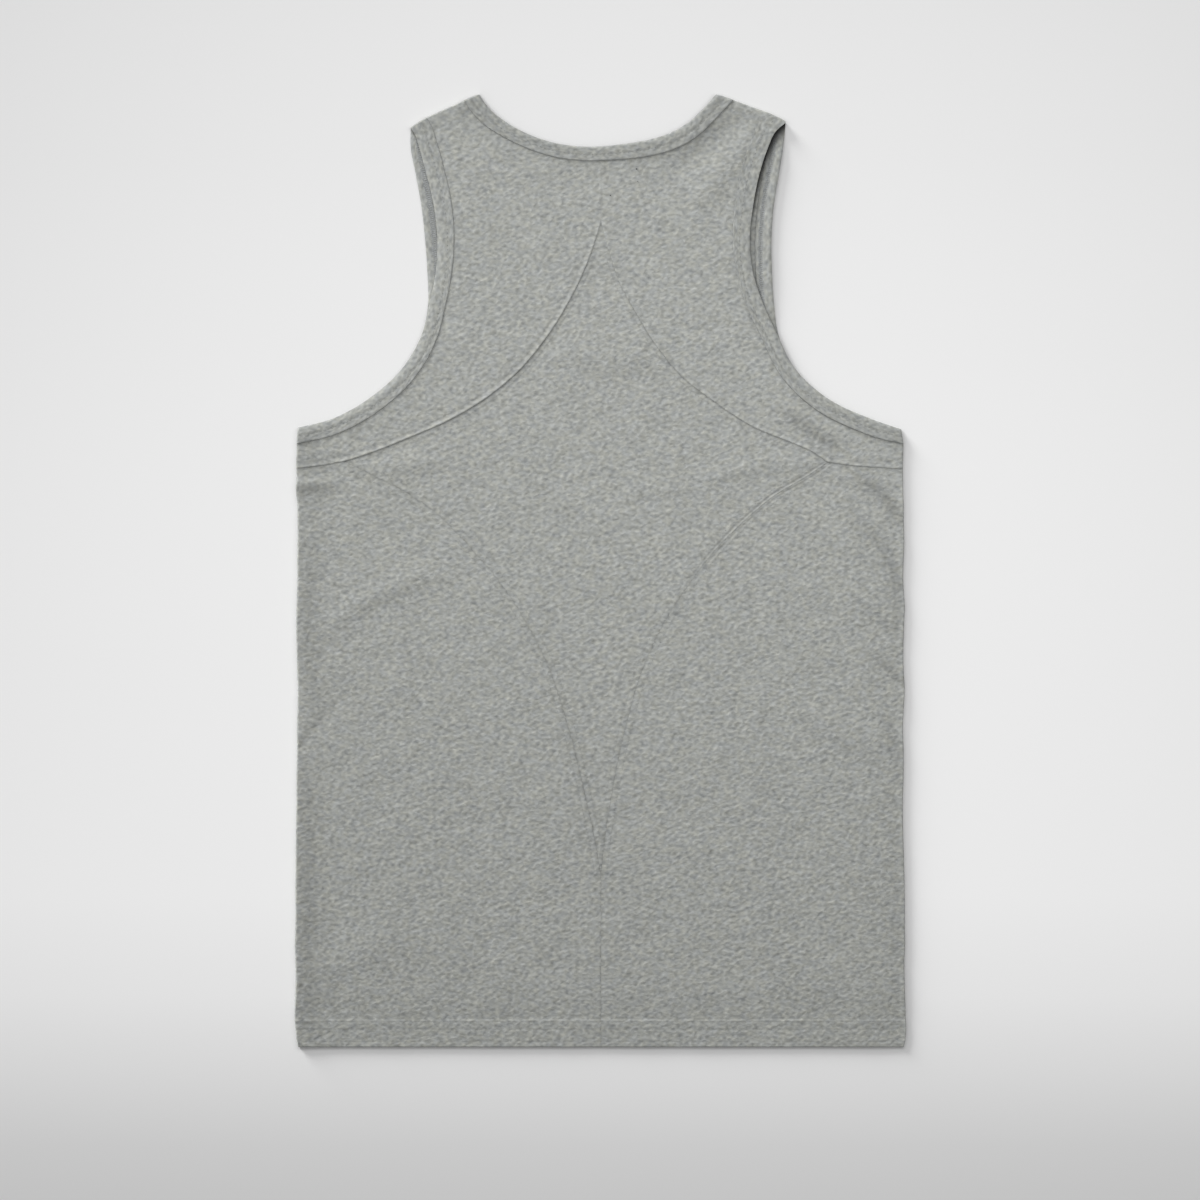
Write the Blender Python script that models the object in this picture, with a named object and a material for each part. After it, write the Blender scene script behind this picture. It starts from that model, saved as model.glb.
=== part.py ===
"""A tank top that lies flat on its front, with its back up.

+X points to the garment's right as it is seen from above, +Y from the hem to the neck, and +Z up from the
surface that it lies on. The origin is on that surface, under the middle of the garment.

Each piece is a wall of cloth. Its outer face is laid out between its seams, and its inner face is one cloth
thickness inside it. The front lies level on the surface. The back lies over it and turns down round the side
and shoulder folds to meet the front halfway. The bands go all round, from the back over the folds to the front.
"""

import bmesh
import bpy
import numpy as np

MM = 0.001

# Sizes of the garment
HALF_LENGTH = 0.3806
HALF_CHEST = 0.2430
HEM_FLARE = 0.0019
FLARE_TOP = -0.140
FLARE_REACH = 0.220
HEM_TOP = -0.3646
HEM_STEP = 0.0012

# Cloth
PANEL_CLOTH = 0.0012
HEM_CLOTH = 0.0018
BAND_CLOTH = 0.0020
BAND_LIP = 0.0013
SEAM_GAP = 0.0003

# How the back lies
LAY = 0.0042
ROLL = 0.0008
ROLL_REACH = 0.009
FOLD_START = 0.0025
HEM_RISE = 0.0003
BAND_RISE = 0.0007
LIP_DROP = 0.00035
LIP_START = 0.7

# Neck and shoulders.
# The front's neck edge is half an ellipse.
FRONT_NECK_CENTRE = (-0.0030, 0.3760)
FRONT_NECK_RADII = (0.0955, 0.1180)
FRONT_NECK_ARC = np.radians(84)
NECK_BAND_END = {"left": 0.0095, "right": 0.0118}
ARM_BAND = 0.0150
SHOULDER = {
    "left": {"neck": (-0.0998, 0.3805), "arm": (-0.1533, 0.3564)},
    "right": {"neck": (0.0945, 0.3805), "arm": (0.1486, 0.3607)},
}
UNDERARM_EDGE = 0.1135
UNDERARM_SEAM = 0.1016
BACK_APEX = (0.0, 0.2790)
LOWER_APEX = (0.0, -0.2430)
SIDE = {"left": -1, "right": 1}

# Free edge of the back's neck band, in millimetres: x, y
BACK_NECK = (
    (-95.0, 376.9),
    (-87.9, 368.0),
    (-78.8, 360.6),
    (-68.2, 353.9),
    (-57.5, 348.7),
    (-46.5, 344.6),
    (-34.1, 341.4),
    (-22.3, 339.6),
    (-10.4, 338.9),
    (2.2, 339.3),
    (14.0, 340.6),
    (25.8, 342.2),
    (38.4, 344.6),
    (49.9, 347.9),
    (60.9, 352.8),
    (71.6, 359.8),
    (80.0, 367.9),
    (88.2, 377.2),
)

# Width of the neck band, in millimetres: x, width
NECK_BAND = ((-95.0, 9.6), (-60.0, 10.2), (0.0, 10.7), (28.0, 12.0), (60.0, 12.9), (82.0, 12.4), (92.0, 11.8))

# Free edge of the back's armhole bands, in millimetres: height, half_width, lean, band
# The edge is at lean - half_width on the left and lean + half_width on the right, and band is the band's width.
BACK_ARMHOLE = (
    (351.0, 144.8, -5.2, 15.0),
    (337.0, 139.0, -6.0, 15.0),
    (318.0, 133.3, -6.5, 15.0),
    (290.0, 127.3, -6.0, 14.5),
    (265.0, 124.8, -6.0, 13.5),
    (240.0, 126.6, -5.4, 13.0),
    (216.0, 132.6, -4.0, 13.0),
    (190.0, 141.6, -1.2, 12.2),
    (162.0, 156.8, -2.0, 11.6),
    (140.0, 180.2, -2.2, 11.8),
    (121.0, 216.9, 0.3, 12.4),
)

# Free edge of the front's armhole bands, with the same columns
FRONT_ARMHOLE = (
    (340.0, 149.0, -3.2, 13.0),
    (318.0, 145.3, -2.9, 13.0),
    (290.0, 140.6, -2.7, 13.0),
    (265.0, 138.4, -2.2, 13.0),
    (240.0, 137.7, -1.1, 13.0),
    (213.0, 138.3, 0.0, 13.0),
    (190.0, 142.2, -0.6, 12.2),
    (162.0, 156.2, -2.0, 11.6),
    (140.0, 179.5, -2.2, 11.8),
    (121.0, 216.5, 0.3, 12.4),
)

# Curved seams of the back, in millimetres from the centre line outwards: across, height
UPPER_SEAM = {
    "left": (
        (7.0, 256.5),
        (15.0, 236.5),
        (27.0, 212.6),
        (45.0, 184.6),
        (65.0, 160.6),
        (91.0, 138.7),
        (121.0, 120.7),
        (153.0, 106.7),
        (185.0, 94.0),
        (205.0, 87.5),
    ),
    "right": (
        (7.0, 253.5),
        (15.0, 230.0),
        (27.0, 208.0),
        (45.0, 179.0),
        (65.0, 155.0),
        (91.0, 134.6),
        (121.0, 115.2),
        (153.0, 102.0),
        (169.0, 95.0),
        (181.0, 86.8),
    ),
}
SIDE_SEAM = {
    "left": ((205.0, 87.5), (223.0, 84.1), (240.5, 81.9)),
    "right": ((181.0, 86.8), (200.0, 84.0), (222.0, 82.5), (240.5, 81.2)),
}
LOWER_SEAM = {
    "left": (
        (205.0, 87.5),
        (180.0, 75.0),
        (153.0, 61.0),
        (126.0, 41.0),
        (103.0, 17.0),
        (76.5, -15.0),
        (56.5, -47.0),
        (40.5, -80.0),
        (29.0, -115.0),
        (19.3, -150.0),
        (11.3, -185.0),
        (4.8, -215.0),
    ),
    "right": (
        (181.0, 86.8),
        (163.5, 75.0),
        (139.5, 61.0),
        (115.4, 41.0),
        (91.4, 17.0),
        (67.4, -15.0),
        (47.4, -47.0),
        (32.8, -80.0),
        (22.3, -115.0),
        (14.0, -150.0),
        (7.6, -185.0),
        (3.0, -215.0),
    ),
}

# Folds of the back, in millimetres: start_x, start_y, end_x, end_y, bow, rise, half_width
# A positive rise is a ridge and a negative one a trough. bow is how far the middle stands off straight.
FOLDS = (
    (-222, -56, -98, 0, 6, -1.0, 13),
    (-243, -150, -196, -100, 0, 0.8, 12),
    (12, 50, 186, 90, 3, -0.9, 13),
    (160, -118, 232, -158, 0, -0.8, 12),
    (104, -288, 226, -358, -4, -1.0, 14),
    (-214, -332, -132, -292, 0, -0.9, 13),
    (110, 350, 44, 290, 0, 1.1, 13),
    (-60, 232, 56, 196, 4, 0.9, 16),
    (-150, -210, -40, -180, -4, 0.6, 18),
    (40, -190, 150, -214, 5, 0.6, 18),
    (-176, 16, -120, 66, 0, 0.6, 14),
    (-20, -20, 60, -120, 6, 0.5, 20),
)

# Lifted places of the back, in millimetres: x, y, rise, reach_x, reach_y
LIFTS = (
    (146, 354, 2.3, 15, 34),
    (128, 300, 0.7, 12, 26),
    (-150, 350, 0.5, 12, 24),
)

# Grid counts
NECK_ROWS = 8
CENTRE_ROWS = 3
UPPER_ROWS = 12
SIDE_SEAM_ROWS = 3
LOWER_ROWS = 15
BELOW_ROWS = 5
YOKE_COLUMNS = 6
CENTRE_COLUMNS = 14
LOWER_COLUMNS = 10
FRONT_SHOULDER_COLUMNS = 2
FRONT_NECK_COLUMNS = 12
FRONT_SIDE_ROWS = 9
FRONT_ARM_ROWS = 18
FOLD_STEPS = 3
ARC_POINTS = 25
SHARP = np.radians(35)

# Rows of the yoke at which its neck, centre and upper stretches end, and how far along the armhole seam each is
YOKE_ENDS = np.cumsum((0, NECK_ROWS, CENTRE_ROWS, UPPER_ROWS, SIDE_SEAM_ROWS))
ARM_SHARES = (0.0, 0.26, 0.35, 0.88, 1.0)

MARL = (0.335, 0.345, 0.330, 1.0)
BAND_MARL = (0.320, 0.330, 0.315, 1.0)


def lengths(path):
    """Distance along the path to each of its points."""
    steps = np.linalg.norm(np.diff(path, axis=0), axis=1)
    return np.concatenate(([0.0], np.cumsum(steps)))


def smooth(points, steps=24):
    """A curve through the points: Hermite cubics whose slopes come from the neighbouring points."""
    points = np.asarray(points, float)
    length = lengths(points)
    slope = np.gradient(points, length, axis=0)
    at = np.linspace(0.0, length[-1], steps * len(points))
    stretch = np.clip(np.searchsorted(length, at, side="right") - 1, 0, len(points) - 2)
    span = (length[stretch + 1] - length[stretch])[:, None]
    t = (at - length[stretch])[:, None] / span
    start = (1 + 2 * t) * (1 - t) ** 2 * points[stretch] + t * (1 - t) ** 2 * span * slope[stretch]
    end = t**2 * (3 - 2 * t) * points[stretch + 1] - t**2 * (1 - t) * span * slope[stretch + 1]
    return start + end


def read(path, shares):
    """Points of the path at the given shares of its length."""
    length = lengths(path)
    at = np.asarray(shares) * length[-1]
    return np.stack([np.interp(at, length, axis) for axis in path.T], axis=-1)


def evenly(path, count):
    """The path cut into count equal stretches."""
    return read(path, np.linspace(0.0, 1.0, count + 1))


def shift(path, distance, closed=False):
    """The path moved to its left by distance, with mitred corners."""
    if closed:
        around = np.concatenate((path[-1:], path, path[:1]))
    else:
        around = np.concatenate((2 * path[:1] - path[1:2], path, 2 * path[-1:] - path[-2:-1]))
    run = np.diff(around, axis=0)
    run /= np.linalg.norm(run, axis=1, keepdims=True)
    left = np.stack((-run[:, 1], run[:, 0]), axis=1)
    before = left[:-1]
    after = left[1:]
    mitre = (before + after) / (1 + (before * after).sum(axis=1, keepdims=True))
    return path + np.reshape(distance, (-1, 1)) * mitre


def half_width(y):
    """Half the garment's width at height y: the chest, and below it a flare to the hem."""
    share = np.clip((FLARE_TOP - y) / FLARE_REACH, 0, 1)
    return HALF_CHEST + HEM_FLARE * share**1.5


def hem_share(y):
    """1 in the turned-up hem and 0 above it, with a short step between."""
    return np.clip((HEM_TOP - y) / HEM_STEP, 0, 1)


def panel_cloth(y):
    """Thickness of a panel: one cloth, or the turned-up hem."""
    return PANEL_CLOTH + (HEM_CLOTH - PANEL_CLOTH) * hem_share(y)


def crease(x, y, start_x, start_y, end_x, end_y, bow, rise, half_width_mm):
    """A soft fold: rise * exp(-(side / half_width)^2) beside its bowed line, fading to both ends as a sine."""
    run_x = (end_x - start_x) * MM
    run_y = (end_y - start_y) * MM
    length = np.hypot(run_x, run_y)
    from_x = x - start_x * MM
    from_y = y - start_y * MM
    along = np.clip((from_x * run_x + from_y * run_y) / length**2, 0, 1)
    side = (from_y * run_x - from_x * run_y) / length - 4 * bow * MM * along * (1 - along)
    return rise * MM * np.exp(-((side / (half_width_mm * MM)) ** 2)) * np.sin(np.pi * along)


def shoulder_normal(side):
    """Unit vector across the shoulder fold, away from the garment."""
    neck = np.array(SHOULDER[side]["neck"])
    run = np.array(SHOULDER[side]["arm"]) - neck
    run /= np.linalg.norm(run)
    return np.array((-run[1], run[0])) * SIDE[side]


def shoulder_length(side):
    """Length of the shoulder fold from the neck edge to the armhole edge."""
    return np.hypot(*(np.array(SHOULDER[side]["arm"]) - np.array(SHOULDER[side]["neck"])))


def shoulder_point(side, station):
    """Where the shoulder fold starts to turn over, at a distance from the neck edge."""
    neck = np.array(SHOULDER[side]["neck"])
    run = np.array(SHOULDER[side]["arm"]) - neck
    run /= np.linalg.norm(run)
    return neck + run * station - shoulder_normal(side) * FOLD_START


def height(x, y):
    """Outer face of the back above the surface.

    A level lay, plus ROLL * exp(-(d / ROLL_REACH)^2) at distance d from where a side or shoulder fold starts,
    plus the folds, the lifted places and the thicker hem.
    """
    level = LAY + HEM_RISE * hem_share(y)
    beside = [half_width(y) - FOLD_START - np.abs(x)]
    for side in SIDE:
        across = shoulder_normal(side)
        start = shoulder_point(side, 0.0)
        beside.append((start[0] - x) * across[0] + (start[1] - y) * across[1])
    for distance in beside:
        level = level + ROLL * np.exp(-((distance / ROLL_REACH) ** 2))
    for fold in FOLDS:
        level = level + crease(x, y, *fold)
    for lift_x, lift_y, rise, reach_x, reach_y in LIFTS:
        far = ((x / MM - lift_x) / reach_x) ** 2 + ((y / MM - lift_y) / reach_y) ** 2
        level = level + rise * MM * np.exp(-far)
    return level


def side_point(side, y):
    """Where the side fold starts to turn over, at height y."""
    return np.array((SIDE[side] * (half_width(y) - FOLD_START), y))


def across_table(side, rows):
    """A table of across and height as points."""
    points = np.array(rows, float) * MM
    points[:, 0] *= SIDE[side]
    return points


def ruled(inner, outer, columns, first=None, last=None):
    """Rows of straight lines from inner to outer, bent towards a curved first or last row by nearness."""
    across = np.linspace(0.0, 1.0, columns + 1)[None, :, None]
    grid = inner[:, None] * (1 - across) + outer[:, None] * across
    length = lengths(inner + outer)
    up = (length / length[-1])[:, None, None]
    if first is not None:
        grid = grid + (1 - up) * (first - grid[0])[None]
    if last is not None:
        grid = grid + up * (last - grid[-1])[None]
    return grid


def over(flat, cloth, rise=0.0):
    """Outer and inner face of a piece that lies on the back, from its flat points."""
    top = height(flat[..., 0], flat[..., 1]) + rise
    cloth = np.broadcast_to(cloth, top.shape)
    outer = np.concatenate((flat, top[..., None]), axis=-1)
    inner = np.concatenate((flat, (top - cloth)[..., None]), axis=-1)
    return outer, inner


def under(flat, cloth):
    """Outer and inner face of a piece that lies on the surface."""
    cloth = np.broadcast_to(cloth, flat.shape[:-1])
    outer = np.concatenate((flat, np.zeros(flat.shape[:-1] + (1,))), axis=-1)
    inner = np.concatenate((flat, cloth[..., None]), axis=-1)
    return outer, inner


def turned(start, across, top, cloth, angles):
    """Cloth round a fold: circles of radius top / 2 outside and top / 2 - cloth inside, at angles from the top.

    start holds the flat points where the fold begins and across points away from the garment. One row for
    each angle.
    """
    cloth = np.broadcast_to(cloth, top.shape)
    angles = np.asarray(angles)[:, None]
    radius = (top / 2)[None]

    def face(reach):
        flat = start[None] + across * (reach * np.sin(angles))[..., None]
        rise = radius + reach * np.cos(angles)
        return np.concatenate((flat, rise[..., None]), axis=-1)

    return face(radius), face(radius - cloth[None])


def half_turn(radius, from_top):
    """Angles of a panel's half of a fold, from its flat part to just short of the seam at mid height."""
    stop = np.pi / 2 - SEAM_GAP / 2 / radius
    angles = np.linspace(0, stop, FOLD_STEPS + 1)[1:]
    return angles if from_top else np.pi - angles


def stack(parts, axis=0):
    """Joins (outer, inner) grids along an axis."""
    return tuple(np.concatenate([part[face] for part in parts], axis=axis) for face in (0, 1))


def wall(name, patches, colour):
    """A closed body from (outer, inner) grids: both faces, and a rim along each free edge of the outer one."""
    points = [np.concatenate([patch[face].reshape(-1, 3) for patch in patches]) for face in (0, 1)]
    faces = []
    start = 0
    for outer, _ in patches:
        rows, columns = outer.shape[:2]
        index = start + np.arange(rows * columns).reshape(rows, columns)
        corners = (index[:-1, :-1], index[:-1, 1:], index[1:, 1:], index[1:, :-1])
        faces.append(np.stack(corners, axis=-1).reshape(-1, 4))
        start += rows * columns
    faces = np.concatenate(faces)
    _, first, place = np.unique(np.round(points[0], 7), axis=0, return_index=True, return_inverse=True)
    faces = place.reshape(-1)[faces]
    edges = np.concatenate([faces[:, (corner, (corner + 1) % 4)] for corner in range(4)])
    edges = edges[edges[:, 0] != edges[:, 1]]
    pairs = np.sort(edges, axis=1)
    _, index, times = np.unique(pairs, axis=0, return_index=True, return_counts=True)
    rim = edges[index[times == 1]]
    count = len(first)
    shell = [faces, faces[:, ::-1] + count]
    shell.append(np.stack((rim[:, 1], rim[:, 0], rim[:, 0] + count, rim[:, 1] + count), axis=-1))
    corners = [list(dict.fromkeys(face)) for face in np.concatenate(shell).tolist()]
    mesh = bpy.data.meshes.new(name)
    vertices = np.concatenate((points[0][first], points[1][first]))
    mesh.from_pydata(vertices.tolist(), [], [face for face in corners if len(face) > 2])
    body = bmesh.new()
    body.from_mesh(mesh)
    bmesh.ops.remove_doubles(body, verts=body.verts, dist=1e-6)
    bmesh.ops.recalc_face_normals(body, faces=body.faces)
    body.to_mesh(mesh)
    body.free()
    mesh.shade_smooth()
    mesh.set_sharp_from_angle(angle=SHARP)
    piece = bpy.data.objects.new(name, mesh)
    bpy.context.collection.objects.link(piece)
    piece.data.materials.append(cloth_material(name, colour))
    return piece


def cloth_material(name, colour):
    """Plain jersey in one colour."""
    material = bpy.data.materials.new(name + "_jersey")
    material.use_nodes = True
    shader = material.node_tree.nodes["Principled BSDF"]
    shader.inputs["Base Color"].default_value = colour
    shader.inputs["Roughness"].default_value = 0.9
    shader.inputs["Metallic"].default_value = 0.0
    return material


def back_neck_rails():
    """Edge and seam of the neck band on the back, from left to right, with a section at the centre seam."""
    ends = [shoulder_point(side, 0.0) for side in SIDE]
    path = smooth(np.concatenate((ends[:1], np.array(BACK_NECK) * MM, ends[1:])))
    middle = np.interp(0.0, path[:, 0], lengths(path)) / lengths(path)[-1]
    left_half = np.linspace(0, middle, NECK_ROWS + 1)
    right_half = np.linspace(middle, 1, NECK_ROWS + 1)[1:]
    return neck_rails(read(path, np.concatenate((left_half, right_half))))


def front_neck_rails():
    """Edge and seam of the neck band on the front, from the left shoulder to the right."""
    angle = np.linspace(-FRONT_NECK_ARC, FRONT_NECK_ARC, ARC_POINTS)
    ring = np.stack((np.sin(angle), -np.cos(angle)), axis=-1) * FRONT_NECK_RADII
    arc = np.array(FRONT_NECK_CENTRE) + ring
    ends = [shoulder_point(side, 0.0) for side in SIDE]
    path = smooth(np.concatenate((ends[:1], arc, ends[1:])))
    return neck_rails(evenly(path, FRONT_NECK_COLUMNS))


def neck_rails(edge):
    """The neck edge, and the neck seam beside it, with the seam's ends on the shoulder folds."""
    across, width = (np.array(NECK_BAND) * MM).T
    seam = shift(edge, -np.interp(edge[:, 0], across, width))
    seam[0] = shoulder_point("left", NECK_BAND_END["left"])
    seam[-1] = shoulder_point("right", NECK_BAND_END["right"])
    return edge, seam


def armhole_rails(side, rows, shares):
    """Edge and seam of an armhole band from the shoulder to the side, at shares of the edge's length."""
    level, half, lean, width = (np.array(rows) * MM).T
    table = np.stack((lean + SIDE[side] * half, level), axis=-1)
    top = shoulder_point(side, shoulder_length(side))
    path = smooth(np.concatenate((top[None], table, side_point(side, UNDERARM_EDGE)[None])))
    edge = read(path, shares)
    band = np.interp(-edge[:, 1], -level, width)
    seam = shift(edge, -SIDE[side] * band)
    seam[0] = shoulder_point(side, shoulder_length(side) - ARM_BAND)
    seam[-1] = side_point(side, UNDERARM_SEAM)
    return edge, seam


def back_armhole_rails(side):
    """Rails of the armhole band on the back, with one section for each row of the yoke."""
    rows = np.arange(YOKE_ENDS[-1] + 1)
    return armhole_rails(side, BACK_ARMHOLE, np.interp(rows, YOKE_ENDS, ARM_SHARES))


def front_armhole_rails(side):
    """Rails of the armhole band on the front."""
    return armhole_rails(side, FRONT_ARMHOLE, np.linspace(0, 1, FRONT_ARM_ROWS + 1))


def upper_seam(side):
    """The curved seam from the top of the middle panel out to where the lower seam meets it."""
    points = np.concatenate(([BACK_APEX], across_table(side, UPPER_SEAM[side])))
    return evenly(smooth(points), UPPER_ROWS)


def side_seam(side, count):
    """The short seam from there out to the side fold."""
    return evenly(smooth(across_table(side, SIDE_SEAM[side])), count)


def lower_seam(side):
    """The curved seam from there down to the foot of the middle panel."""
    points = np.concatenate((across_table(side, LOWER_SEAM[side]), [LOWER_APEX]))
    return evenly(smooth(points), LOWER_ROWS)


def back_yoke(side):
    """Upper back of one side: rows run from the neck, centre and upper seams out to the armhole seam."""
    _, neck = back_neck_rails()
    neck = neck[: NECK_ROWS + 1] if side == "left" else neck[NECK_ROWS:][::-1]
    centre = evenly(np.array((neck[-1], BACK_APEX)), CENTRE_ROWS)
    inner = (neck, centre[1:], upper_seam(side)[1:], side_seam(side, SIDE_SEAM_ROWS)[1:])
    inner = shift(np.concatenate(inner), SIDE[side] * SEAM_GAP / 2)
    _, outer = back_armhole_rails(side)
    outer = shift(outer, -SIDE[side] * SEAM_GAP / 2)
    flat = ruled(inner, outer, YOKE_COLUMNS)
    level = height(flat[..., 0], flat[..., 1])
    shoulder = fold_of(flat[0], shoulder_normal(side), level[0], PANEL_CLOTH, True)
    under_arm = fold_of(flat[-1], np.array((SIDE[side], 0.0)), level[-1], PANEL_CLOTH, True)
    grids = stack((tuple(face[::-1] for face in shoulder), over(flat, PANEL_CLOTH), under_arm))
    return wall("back_yoke_" + side, [grids], MARL)


def fold_of(start, across, level, cloth, from_top):
    """A panel's half of a fold that begins at the start points."""
    return turned(start, across, level, cloth, half_turn(level.min() / 2, from_top))


def back_center():
    """Middle of the back: rows run across between the curved seams of both sides."""
    rails = [np.concatenate((upper_seam(side), lower_seam(side)[1:])) for side in SIDE]
    loop = np.concatenate((rails[0], rails[1][-2:0:-1]))
    loop = shift(loop, SEAM_GAP / 2, closed=True)
    rows = len(rails[0])
    left = loop[:rows]
    right = np.concatenate((loop[:1], loop[rows:][::-1], loop[rows - 1 : rows]))
    return wall("back_center", [over(ruled(left, right, CENTRE_COLUMNS), PANEL_CLOTH)], MARL)


def back_lower(side):
    """Lower back of one side: rows run from the lower and centre seams out round the side fold."""
    seam = lower_seam(side)
    below = np.linspace(LOWER_APEX[1], HEM_TOP, BELOW_ROWS + 1)[1:]
    below = np.concatenate((below, (HEM_TOP - HEM_STEP, -HALF_LENGTH)))
    centre = np.stack((np.zeros_like(below), below), axis=-1)
    top = side_seam(side, LOWER_COLUMNS)
    edge = shift(np.concatenate((top[::-1], seam[1:], centre)), SIDE[side] * SEAM_GAP / 2)
    first = edge[: LOWER_COLUMNS + 1][::-1]
    inner = edge[LOWER_COLUMNS:]
    inner[-1, 1] = -HALF_LENGTH
    drop = np.interp(inner[:, 1], (-HALF_LENGTH, inner[0, 1]), (-HALF_LENGTH, first[-1, 1]))
    drop[-3:] = inner[-3:, 1]
    outer = np.stack((SIDE[side] * (half_width(drop) - FOLD_START), drop), axis=-1)
    flat = ruled(inner, outer, LOWER_COLUMNS, first=first)
    cloth = panel_cloth(flat[..., 1])
    level = height(flat[:, -1, 0], flat[:, -1, 1])
    rows = fold_of(flat[:, -1], np.array((SIDE[side], 0.0)), level, cloth[:, -1], True)
    fold = tuple(face.transpose(1, 0, 2) for face in rows)
    return wall("back_lower_" + side, [stack((over(flat, cloth), fold), axis=1)], MARL)


def front_panel():
    """The front in one piece: rows run across, from the hem up to the shoulders and the neck seam."""
    steps = np.linspace(HEM_TOP, UNDERARM_SEAM, FRONT_SIDE_ROWS + 1)
    steps = np.concatenate(((-HALF_LENGTH, HEM_TOP - HEM_STEP), steps))
    rails = []
    for side in SIDE:
        sides = np.stack((SIDE[side] * (half_width(steps) - FOLD_START), steps), axis=-1)
        _, seam = front_armhole_rails(side)
        seam = shift(seam, -SIDE[side] * SEAM_GAP / 2)[::-1]
        rails.append(np.concatenate((sides[:-1], seam)))
    _, neck = front_neck_rails()
    neck = shift(neck, -SEAM_GAP / 2)
    ends = [evenly(np.array((rails[0][-1], neck[0])), FRONT_SHOULDER_COLUMNS)]
    ends.append(evenly(np.array((neck[-1], rails[1][-1])), FRONT_SHOULDER_COLUMNS))
    last = np.concatenate((ends[0][:-1], neck, ends[1][1:]))
    flat = ruled(rails[0], rails[1], len(last) - 1, last=last)
    cloth = panel_cloth(flat[..., 1])
    patches = [under(flat, cloth)]
    side_rows = slice(0, len(steps))
    for side, column in (("left", 0), ("right", -1)):
        start = flat[side_rows, column]
        level = height(start[:, 0], start[:, 1])
        outwards = np.array((SIDE[side], 0.0))
        rows = fold_of(start, outwards, level, cloth[side_rows, column], False)
        edge = tuple(face[side_rows, column][None] for face in patches[0])
        patches.append(stack((edge, rows)))
    last_columns = FRONT_SHOULDER_COLUMNS + 1
    ends = {"left": slice(0, last_columns), "right": slice(-last_columns, None)}
    for side, columns in ends.items():
        start = flat[-1, columns]
        level = height(start[:, 0], start[:, 1])
        rows = fold_of(start, shoulder_normal(side), level, PANEL_CLOTH, False)
        edge = tuple(face[-1, columns][None] for face in patches[0])
        patches.append(stack((edge, rows)))
    return wall("front_panel", patches, MARL)


def band_section(edge, seam):
    """Flat points across a band: its seam, where its edge starts to round, and its free edge."""
    share = np.array((0.0, LIP_START, 1.0))[None, :, None]
    return seam[:, None] * (1 - share) + edge[:, None] * share


def band_halves(back_rails, front_rails, gap):
    """Flat points of a band's back half, and of its front half turned round, which meet at both ends."""
    back = band_section(back_rails[0], shift(back_rails[1], gap))
    front = band_section(front_rails[0], shift(front_rails[1], gap))[::-1].copy()
    front[0] = back[-1]
    front[-1] = back[0]
    return back, front


def band_ring(name, back, front, first_turn, last_turn):
    """A band all round: over the back, round one fold, along the front and round the other fold.

    The front's sections start where the back's end. Each turn is the fold's direction away from the garment.
    """
    rise = np.array((BAND_RISE, BAND_RISE, BAND_RISE - LIP_DROP))
    cloth = np.array((BAND_CLOTH, BAND_CLOTH, BAND_LIP))
    level = height(back[..., 0], back[..., 1]) + rise
    half_way = np.linspace(0, np.pi, 2 * FOLD_STEPS)[1:-1]
    over_end = turned(back[-1], last_turn, level[-1], cloth, half_way)
    over_start = turned(back[0], first_turn, level[0], cloth, half_way[::-1])
    ring = stack((over(back, cloth, rise), over_end, under(front, cloth), over_start))
    closed = tuple(np.concatenate((face, face[:1])) for face in ring)
    return wall(name, [closed], BAND_MARL)


def neck_band():
    """The folded strip round the neck."""
    back, front = band_halves(back_neck_rails(), front_neck_rails(), SEAM_GAP / 2)
    return band_ring("neck_band", back, front, shoulder_normal("left"), shoulder_normal("right"))


def armhole_band(side):
    """The folded strip round one armhole."""
    gap = SIDE[side] * SEAM_GAP / 2
    back, front = band_halves(back_armhole_rails(side), front_armhole_rails(side), gap)
    outwards = np.array((SIDE[side], 0.0))
    return band_ring("armhole_band_" + side, back, front, shoulder_normal(side), outwards)


def main():
    for left_over in list(bpy.data.objects):
        bpy.data.objects.remove(left_over, do_unlink=True)
    front_panel()
    back_center()
    neck_band()
    for side in SIDE:
        back_yoke(side)
        back_lower(side)
        armhole_band(side)


main()
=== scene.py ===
"""Looks of a tank top that lies flat on its front, with its back up.

+X points to the garment's right as it is seen from above, +Y from the hem to the neck, and +Z up from the
surface. Every piece is a wall of cloth between an outer and an inner grid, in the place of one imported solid.
"""

import bmesh
import bpy
import numpy as np
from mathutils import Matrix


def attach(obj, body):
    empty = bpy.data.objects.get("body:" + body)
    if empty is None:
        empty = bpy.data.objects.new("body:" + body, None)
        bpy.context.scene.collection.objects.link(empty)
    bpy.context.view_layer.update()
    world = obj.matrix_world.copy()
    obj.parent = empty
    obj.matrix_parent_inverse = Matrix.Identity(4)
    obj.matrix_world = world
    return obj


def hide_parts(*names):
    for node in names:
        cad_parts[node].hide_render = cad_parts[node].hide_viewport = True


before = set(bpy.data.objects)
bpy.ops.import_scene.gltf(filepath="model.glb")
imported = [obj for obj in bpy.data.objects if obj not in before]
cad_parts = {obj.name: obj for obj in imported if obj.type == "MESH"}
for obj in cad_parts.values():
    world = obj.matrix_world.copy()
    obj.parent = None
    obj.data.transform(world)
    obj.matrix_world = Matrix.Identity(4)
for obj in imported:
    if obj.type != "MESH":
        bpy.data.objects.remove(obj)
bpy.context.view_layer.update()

MM = 0.001

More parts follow.
